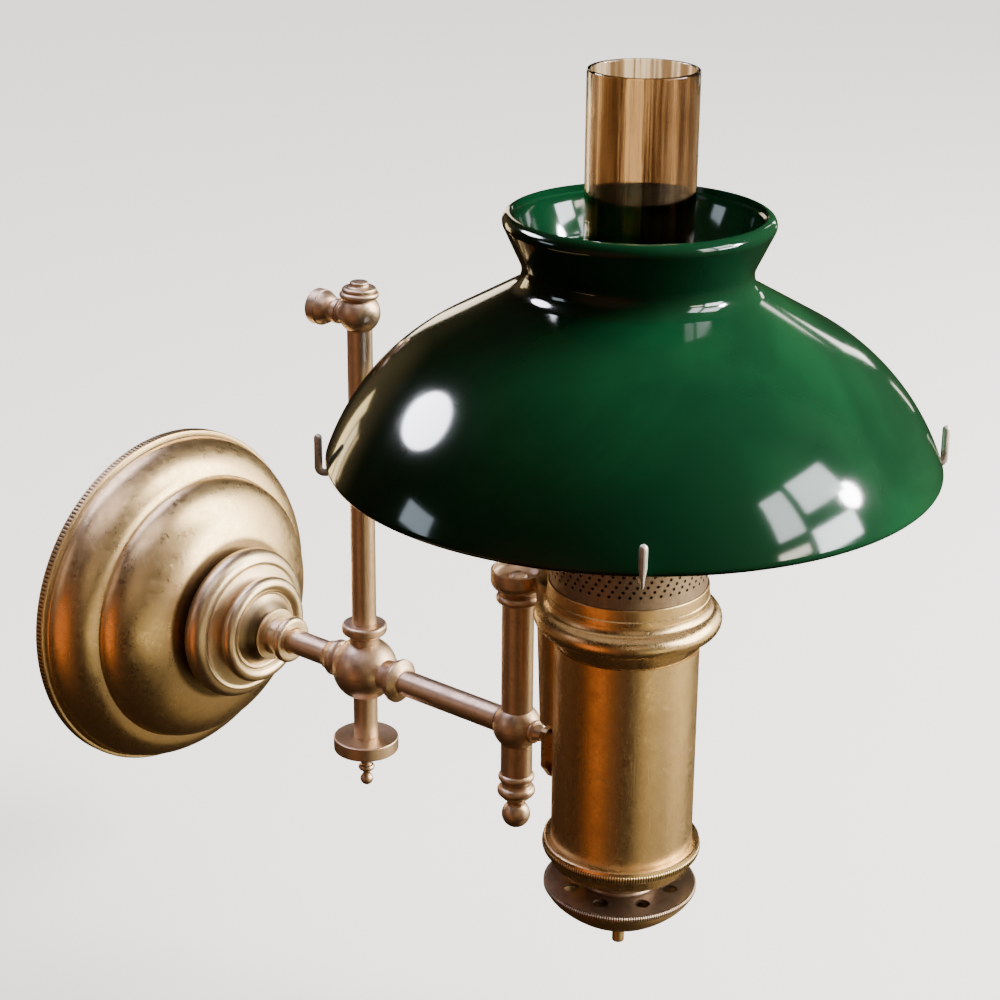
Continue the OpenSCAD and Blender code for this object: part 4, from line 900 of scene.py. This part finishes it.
class LAMP_OT_shade_glass(bpy.types.Operator):
    """The shade: a flared dome of glossy cased green glass with a rolled lip"""
    bl_idname = "lamp.shade_glass"
    bl_label = "Blow the shade"

    def execute(self, context):
        glass = context.scene.lamp_glass
        shade = turned_piece("shade_glass", self.outline(glass), 288, AT_LAMP, "shade", "shade",
                             ("glass",))
        shade.data.materials.append(self.cased_glass(glass))
        return {"FINISHED"}

    def outline(self, glass):
        """The section of the dome, neck and lip, outside first, in metres."""
        t, cone, flare = glass.shade_t, math.radians(glass.cone_angle), math.radians(glass.flare_angle)
        lift = glass.shade_z - 0.0297
        dome = (glass.shade_r - math.sqrt(glass.dome_r ** 2 - (glass.shade_z - lift) ** 2), lift)
        reach = glass.neck_r + glass.neck_curve
        neck = (reach, (dome[0] * math.cos(cone) + dome[1] * math.sin(cone) + glass.dome_r + glass.neck_curve
                        - reach * math.cos(cone)) / math.sin(cone))
        line = ((neck[0] - glass.neck_curve * math.cos(flare)) * math.cos(flare)
                - (neck[1] + glass.neck_curve * math.sin(flare)) * math.sin(flare))
        lip_x = glass.lip_r - glass.lip_bead
        lip = (lip_x, (lip_x * math.cos(flare) - line + glass.lip_bead) / math.sin(flare))
        rim = math.asin((glass.shade_z + t / 2 - dome[1]) / (glass.dome_r - t / 2))
        rim_centre = (dome[0] + (glass.dome_r - t / 2) * math.cos(rim), dome[1] + (glass.dome_r - t / 2) * math.sin(rim))
        rim = math.degrees(rim)
        inner = lip[0] + 0.0002
        return (arc(rim_centre, t / 2, rim - 150, rim, 8)
                + arc(dome, glass.dome_r, rim + 0.6, glass.cone_angle, 40)
                + arc(neck, glass.neck_curve, 180 + glass.cone_angle, 180 - glass.flare_angle, 16)
                + arc(lip, glass.lip_bead, -glass.flare_angle, 86, 14)
                + [(inner, lip[1] + 0.0012), (inner - 0.0011, lip[1] + 0.0006), (inner - 0.0013, lip[1] - 0.0026)]
                + arc(neck, glass.neck_curve + t, 180 - glass.flare_angle, 180 + glass.cone_angle, 16)
                + arc(dome, glass.dome_r - t, glass.cone_angle, rim + 0.6, 40))

    def cased_glass(self, glass):
        material, tree, shader, place = fresh_material("cased_green_glass")
        handled = use_group(tree, "Handled glass", Position=place)
        swirl = ramp(tree, noise(tree, place, 9.0, 4.0, 0.5, 1.2), 0.35, 0.7)
        colour = blend_colours(tree, swirl, tuple(glass.shade_colour) + (1,), tuple(glass.shade_light) + (1,))
        tree.links.new(colour, shader.inputs["Base Color"])
        rough = sums(tree, "ADD", 0.085, sums(tree, "MULTIPLY", handled["Smear"], 0.03))
        tree.links.new(sums(tree, "ADD", rough, sums(tree, "MULTIPLY", handled["Dust"], 0.04)),
                       shader.inputs["Roughness"])
        shader.inputs["IOR"].default_value = 1.52
        waves = noise(tree, place, 14.0, 2.0, 0.4)
        bump(tree, shader, waves, 0.0001)
        return material


class LAMP_OT_chimney_glass(bpy.types.Operator):
    """The chimney: a slip tube of glass with an amber tint and dark upright streaks, both painted reflection"""
    bl_idname = "lamp.chimney_glass"
    bl_label = "Draw the chimney"

    def execute(self, context):
        glass = context.scene.lamp_glass
        chimney = turned_piece("chimney_glass", self.outline(glass), 160, AT_LAMP, "chimney", "chimney",
                               ("glass",))
        chimney.data.materials.append(self.reflection_streaked_glass(glass))
        return {"FINISHED"}

    def outline(self, glass):
        """The section of the foot, bulb and tube, outside first, in metres."""
        low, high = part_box("chimney")
        foot, tube, t = glass.chimney_foot_r, glass.chimney_r, glass.chimney_t
        bulb, tube_z = low.z + glass.bulb_h, low.z + glass.bulb_h + glass.taper_len
        swell = [(0.5 - 0.5 * math.cos(math.pi * i / 16), bulb + (tube_z - bulb) * i / 16) for i in range(17)]
        outer = [(foot + (tube - foot) * share, z) for share, z in swell]
        inner = [(r - t, z) for r, z in reversed(outer)]
        rise = [(tube, tube_z + (high.z - t / 2 - tube_z) * i / 12) for i in range(1, 12)]
        fall = [(r - t, z) for r, z in reversed(rise)]
        lip = arc((tube - t / 2, high.z - t / 2), t / 2, 0, 180, 10)
        return [(foot - t, low.z), (foot, low.z)] + outer + rise + lip + fall + inner

    def reflection_streaked_glass(self, glass):
        material, tree, shader, place = fresh_material("chimney_glass")
        turn = use_group(tree, "Upright turning", Position=place, Axis=tuple(LAMP_AXIS))
        round_place = put(tree, "ShaderNodeCombineXYZ", X=sums(tree, "COSINE", turn["Angle"]),
                          Y=sums(tree, "SINE", turn["Angle"]),
                          Z=sums(tree, "MULTIPLY", turn["Along"], 0.8)).outputs[0]
        # Painted reflection: upright streaks and an amber tint stand in for the warm room seen in clear glass
        broad = noise(tree, round_place, 2.6, 2.0, 0.5)
        fine = noise(tree, round_place, 9.0, 4.0, 0.7)
        bands = sums(tree, "ADD", sums(tree, "MULTIPLY", broad, 0.5), sums(tree, "MULTIPLY", fine, 0.5))
        streak = ramp(tree, bands, 0.44, 0.55)
        colour = blend_colours(tree, streak, tuple(glass.chimney_reflection_tint) + (1,), tuple(glass.chimney_reflection_streak) + (1,))
        tree.links.new(colour, shader.inputs["Base Color"])
        handled = use_group(tree, "Handled glass", Position=place)
        tree.links.new(sums(tree, "MULTIPLY", handled["Smear"], 0.03), shader.inputs["Roughness"])
        shader.inputs["Transmission Weight"].default_value = 1.0
        shader.inputs["IOR"].default_value = 1.47
        bump(tree, shader, fine, 0.0001)
        return material


def stage_material(name, colour, roughness, glow):
    """A plain matt finish for the stage, with a faint mottle, that stays pale far from the lights."""
    material, tree, shader, place = fresh_material(name)
    mottle = noise(tree, place, 3.0, 3.0)
    pale = tuple(colour) + (1,)
    shade = tuple(c * 0.985 for c in colour) + (1,)
    paint = blend_colours(tree, mottle, pale, shade)
    tree.links.new(paint, shader.inputs["Base Color"])
    tree.links.new(paint, shader.inputs["Emission Color"])
    shader.inputs["Emission Strength"].default_value = glow
    shader.inputs["Roughness"].default_value = roughness
    return material


def towards(azimuth, elevation):
    """A unit vector from two angles in degrees; azimuth counts from +X."""
    turn, rise = math.radians(azimuth), math.radians(elevation)
    return Vector((math.cos(turn) * math.cos(rise), math.sin(turn) * math.cos(rise), math.sin(rise)))


def add_panel(name, direction, distance, shift, size, glow, colour, shape, falls_on):
    """A soft panel that faces the lamp, moved sideways and up in its own plane.

    Its glow is how bright it looks in a mirror. It falls on the gloss of the glass, on the gloss of the rest,
    or, as a body light, on everything but gloss.
    """
    facing = towards(*direction)
    across = Vector((0, 0, 1)).cross(facing).normalized()
    upward = facing.cross(across)
    data = bpy.data.lights.new(name, "AREA")
    data.shape = shape
    data.size, data.size_y = size
    area = size[0] * size[1] * (math.pi / 4 if shape == "ELLIPSE" else 1)
    data.energy = glow * area * math.pi
    data.color = colour
    light = bpy.data.objects.new(name, data)
    light.location = LIGHT_CENTRE + facing * distance + across * shift[0] + upward * shift[1]
    light.rotation_euler = (-facing).to_track_quat("-Z", "Y").to_euler()
    light.visible_camera = False
    light.visible_diffuse = falls_on == "body"
    light.visible_glossy = falls_on != "body"
    if falls_on != "body":
        light.light_linking.receiver_collection = bpy.data.collections[falls_on]
    bpy.context.scene.collection.objects.link(light)


LIGHT_CENTRE = LAMP_AXIS + Vector((0, 0, 0.1))
WINDOW = (-74, 0)
DAYLIGHT = (0.93, 0.98, 1.0)
# name, direction, distance, shift, size, glow, colour, shape, falls on
PANELS = (
    ("pane_upper_left", WINDOW, 2.0, (-0.365, 1.165), (0.41, 0.82), 18.0, DAYLIGHT, "RECTANGLE", "glass"),
    ("pane_upper_right", WINDOW, 2.0, (0.35, 1.30), (0.76, 0.64), 22.0, DAYLIGHT, "RECTANGLE", "glass"),
    ("pane_lower_left", WINDOW, 2.0, (-0.41, 0.51), (0.44, 0.12), 25.0, (1.0, 0.93, 0.78), "RECTANGLE", "glass"),
    ("pane_lower_right", WINDOW, 2.0, (0.28, 0.52), (0.70, 0.36), 40.0, DAYLIGHT, "RECTANGLE", "glass"),
    ("window_sun", WINDOW, 2.0, (0.74, 0.87), (0.34, 0.40), 260.0, (1, 1, 1), "ELLIPSE", "glass"),
    ("round_lamp", (104.5, 33), 2.0, (-0.02, 0.02), (0.82, 0.60), 70.0, (0.88, 0.89, 1.0), "ELLIPSE", "glass"),
    ("gold_patch", (70, 0), 2.0, (0.18, -0.06), (0.22, 0.64), 7.0, (1.0, 0.74, 0.34), "RECTANGLE", "glass"),
    ("gold_strip", (70, 0), 2.0, (0.40, -0.10), (0.14, 0.56), 8.0, (1.0, 0.78, 0.42), "RECTANGLE", "glass"),
    ("gold_edge", (70, 0), 2.0, (0.54, 0.02), (0.05, 0.40), 6.0, (1.0, 0.72, 0.34), "RECTANGLE", "glass"),
    ("tan_strip", (51, 12), 2.0, (0.0, 0.0), (0.22, 1.1), 5.0, (1.0, 0.82, 0.58), "RECTANGLE", "glass"),
    ("small_pane", (133, 0), 2.0, (0.07, 0.45), (0.48, 0.31), 6.0, (0.72, 0.86, 1.0), "RECTANGLE", "glass"),
    ("rim_gold", (150, -32), 2.0, (0.0, 0.0), (1.3, 0.16), 2.5, (1.0, 0.68, 0.32), "RECTANGLE", "glass"),
    ("pale_strip_high", (9, 24), 2.0, (0.0, 0.0), (0.07, 0.26), 7.0, (1.0, 0.97, 0.88), "RECTANGLE", "glass"),
    ("pale_strip", (11, 11), 2.0, (0.0, 0.0), (0.11, 0.34), 9.0, (1.0, 0.97, 0.88), "RECTANGLE", "glass"),
    ("pale_strip_low", (9, -1), 2.0, (0.0, 0.0), (0.05, 0.20), 6.0, (1.0, 0.94, 0.80), "RECTANGLE", "glass"),
    ("cream_window", (-57, 25), 2.0, (0, 0), (2.3, 2.4), 12.0, (1.0, 0.93, 0.77), "ELLIPSE", "metal"),
    ("cream_side", (-18, 8), 2.0, (0, 0), (1.6, 1.5), 3.2, (1.0, 0.88, 0.68), "ELLIPSE", "metal"),
    ("cream_rose", (-48, -10), 2.0, (0, 0), (1.6, 0.9), 4.5, (1.0, 0.90, 0.68), "ELLIPSE", "rose"),
    ("cream_low", (-48, -20), 2.0, (0, 0), (2.4, 0.9), 1.35, (1.0, 0.82, 0.42), "ELLIPSE", "metal"),
    ("olive_low", (-100, -20), 2.0, (0, 0), (1.7, 0.9), 1.15, (1.0, 0.80, 0.40), "ELLIPSE", "metal"),
    ("gold_floor", (-40, -58), 2.0, (0, 0), (2.0, 1.1), 0.30, (1.0, 0.74, 0.34), "ELLIPSE", "metal"),
    ("lavender_lamp", (94, 56), 2.0, (0, 0), (1.7, 1.2), 6.5, (0.80, 0.76, 1.0), "ELLIPSE", "metal"),
    ("pink_top", (-150, 66), 2.0, (0, 0), (1.6, 1.2), 2.4, (0.95, 0.82, 0.85), "ELLIPSE", "metal"),
    ("tan_front", (-132, 18), 2.0, (0, 0), (1.1, 1.3), 0.50, (1.0, 0.74, 0.46), "ELLIPSE", "metal"),
    ("orange_low", (174, -13), 2.0, (0, 0), (1.2, 1.2), 0.80, (1.0, 0.27, 0.04), "ELLIPSE", "sheet"),
    ("orange_arm", (174, -13), 2.0, (0, 0), (1.2, 1.2), 0.20, (1.0, 0.50, 0.26), "ELLIPSE", "metal"),
    ("brown_side", (112, -16), 2.0, (0, 0), (1.9, 0.7), 0.18, (1.0, 0.45, 0.20), "ELLIPSE", "metal"),
    ("pink_side", (148, 20), 2.0, (0, 0), (0.8, 0.9), 0.8, (1.0, 0.74, 0.64), "ELLIPSE", "metal"),
    ("warm_room", (140, 8), 2.0, (0, 0), (2.0, 1.4), 0.14, (1.0, 0.64, 0.42), "ELLIPSE", "metal"),
    ("under_shade", (0, 90), 0.065, (0, 0), (0.22, 0.22), 0.5, (1.0, 0.78, 0.58), "ELLIPSE", "metal"),
    ("window_light", (-46, 32), 2.0, (0, 0), (1.3, 1.3), 28.0, (1.0, 0.98, 0.94), "RECTANGLE", "body"),
    ("ceiling_light", (-60, 80), 1.8, (0, 0), (1.8, 1.8), 1.0, (1.0, 0.98, 0.95), "RECTANGLE", "body"),
)
# Broad glows of the room in gloss: direction, full inside, gone outside (degrees), colour
GLOWS = (
    ((74, 2), 3, 22, (0.22, 0.16, 0.08)),
    ((-50, 14), 15, 80, (0.10, 0.09, 0.07)),
    ((-174, -10), 6, 40, (0.16, 0.07, 0.03)),
)


class LAMP_OT_studio(bpy.types.Operator):
    """The camera, the pale floor and the soft studio light"""
    bl_idname = "lamp.studio"
    bl_label = "Set up the studio"

    def execute(self, context):
        studio = context.scene.lamp_studio
        self.add_camera(context, studio)
        self.add_floor(studio)
        self.add_lights()
        self.set_world(context)
        return {"FINISHED"}

    def add_camera(self, context, studio):
        data = bpy.data.cameras.new("camera")
        data.sensor_width = 36
        data.lens = studio.focal_length
        data.clip_start = 0.01
        camera = bpy.data.objects.new("camera", data)
        upright = Matrix.Rotation(studio.look_turn, 4, "Z")
        tilt = Matrix.Rotation(math.pi / 2 - studio.look_down, 4, "X")
        place = Matrix.Translation(LAMP_AXIS + Vector(studio.stand))
        camera.matrix_world = place @ upright @ tilt @ Matrix.Rotation(studio.roll, 4, "Z")
        context.scene.collection.objects.link(camera)
        context.scene.camera = camera

    def add_floor(self, studio):
        reach = 14.0
        level = CAD_BOX[0][2] - studio.floor_drop
        mesh = bpy.data.meshes.new("studio_floor")
        corners = [(reach * math.cos(a), reach * math.sin(a), level)
                   for a in (math.tau * i / 64 for i in range(64))]
        mesh.from_pydata(corners, [], [range(64)])
        mesh.materials.append(stage_material("floor_paint", studio.floor_colour, 0.6, studio.floor_glow))
        floor = bpy.data.objects.new("studio_floor", mesh)
        floor.visible_glossy = False
        floor.visible_diffuse = False
        bpy.context.scene.collection.objects.link(floor)

    def add_lights(self):
        """Panels in the places that the lamp's highlights ask for, glass and metal each with their own."""
        lit = {"glass": (), "rose": ROSE_NODES, "sheet": ROSE_NODES + FONT_NODES + WORN_NODES,
               "metal": [name for name in NODES if name not in ("shade", "chimney")]}
        for light, names in lit.items():
            group = bpy.data.collections.new(light)
            for piece in [NODES[name] for name in names] + LIT_PIECES[light]:
                group.objects.link(piece)
        for panel in PANELS:
            add_panel(*panel)

    def set_world(self, context):
        """Pale air behind the lamp, and a dim warm room with broad glows in its gloss."""
        world = bpy.data.worlds.new("studio_air")
        context.scene.world = world
        world.use_nodes = True
        tree = world.node_tree
        tree.nodes.clear()
        look = tree.nodes.new("ShaderNodeTexCoord").outputs["Generated"]
        room = (0.035, 0.020, 0.010, 1)
        for direction, near, far, colour in GLOWS:
            dot = tree.nodes.new("ShaderNodeVectorMath")
            dot.operation = "DOT_PRODUCT"
            tree.links.new(look, dot.inputs[0])
            dot.inputs[1].default_value = towards(*direction)
            mask = ramp(tree, dot.outputs["Value"], math.cos(math.radians(far)), math.cos(math.radians(near)))
            room = blend_colours(tree, mask, room, colour + (1,), "ADD")
        air = context.scene.lamp_studio
        shown = put(tree, "ShaderNodeBackground", Color=tuple(air.air_colour) + (1,), Strength=air.air_glow)
        mirrored = put(tree, "ShaderNodeBackground", Color=room, Strength=1.0)
        path = tree.nodes.new("ShaderNodeLightPath").outputs
        seen = sums(tree, "MAXIMUM", path["Is Camera Ray"], path["Is Transmission Ray"])
        mix = put(tree, "ShaderNodeMixShader", Fac=seen)
        tree.links.new(mirrored.outputs[0], mix.inputs[1])
        tree.links.new(shown.outputs[0], mix.inputs[2])
        output = tree.nodes.new("ShaderNodeOutputWorld")
        tree.links.new(mix.outputs[0], output.inputs["Surface"])


OPERATORS = (LAMP_OT_shared_effects, LAMP_OT_rose_finish, LAMP_OT_bracket_finish, LAMP_OT_font_finish,
             LAMP_OT_burner_finish, LAMP_OT_steel_finish, LAMP_OT_wick_finish, LAMP_OT_shade_glass,
             LAMP_OT_chimney_glass, LAMP_OT_studio)


class LAMP_PT_dressing(bpy.types.Panel):
    """Steps that dress the lamp"""
    bl_idname = "LAMP_PT_dressing"
    bl_label = "Student lamp"
    bl_space_type = "VIEW_3D"
    bl_region_type = "UI"
    bl_category = "Lamp"

    def draw(self, context):
        for settings in (context.scene.lamp_finish, context.scene.lamp_glass, context.scene.lamp_studio):
            for name in settings.__annotations__:
                self.layout.prop(settings, name)
        for operator in OPERATORS:
            self.layout.operator(operator.bl_idname)


CLASSES = (LampFinish, LampGlass, LampStudio) + OPERATORS + (LAMP_PT_dressing,)


def register():
    for item in CLASSES:
        bpy.utils.register_class(item)
    bpy.types.Scene.lamp_finish = PointerProperty(type=LampFinish)
    bpy.types.Scene.lamp_glass = PointerProperty(type=LampGlass)
    bpy.types.Scene.lamp_studio = PointerProperty(type=LampStudio)


def unregister():
    for name in ("lamp_finish", "lamp_glass", "lamp_studio"):
        delattr(bpy.types.Scene, name)
    for item in reversed(CLASSES):
        bpy.utils.unregister_class(item)


def main():
    """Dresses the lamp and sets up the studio."""
    register()
    for operator in OPERATORS:
        family, name = operator.bl_idname.split(".")
        getattr(getattr(bpy.ops, family), name)()


if __name__ == "__main__":
    main()
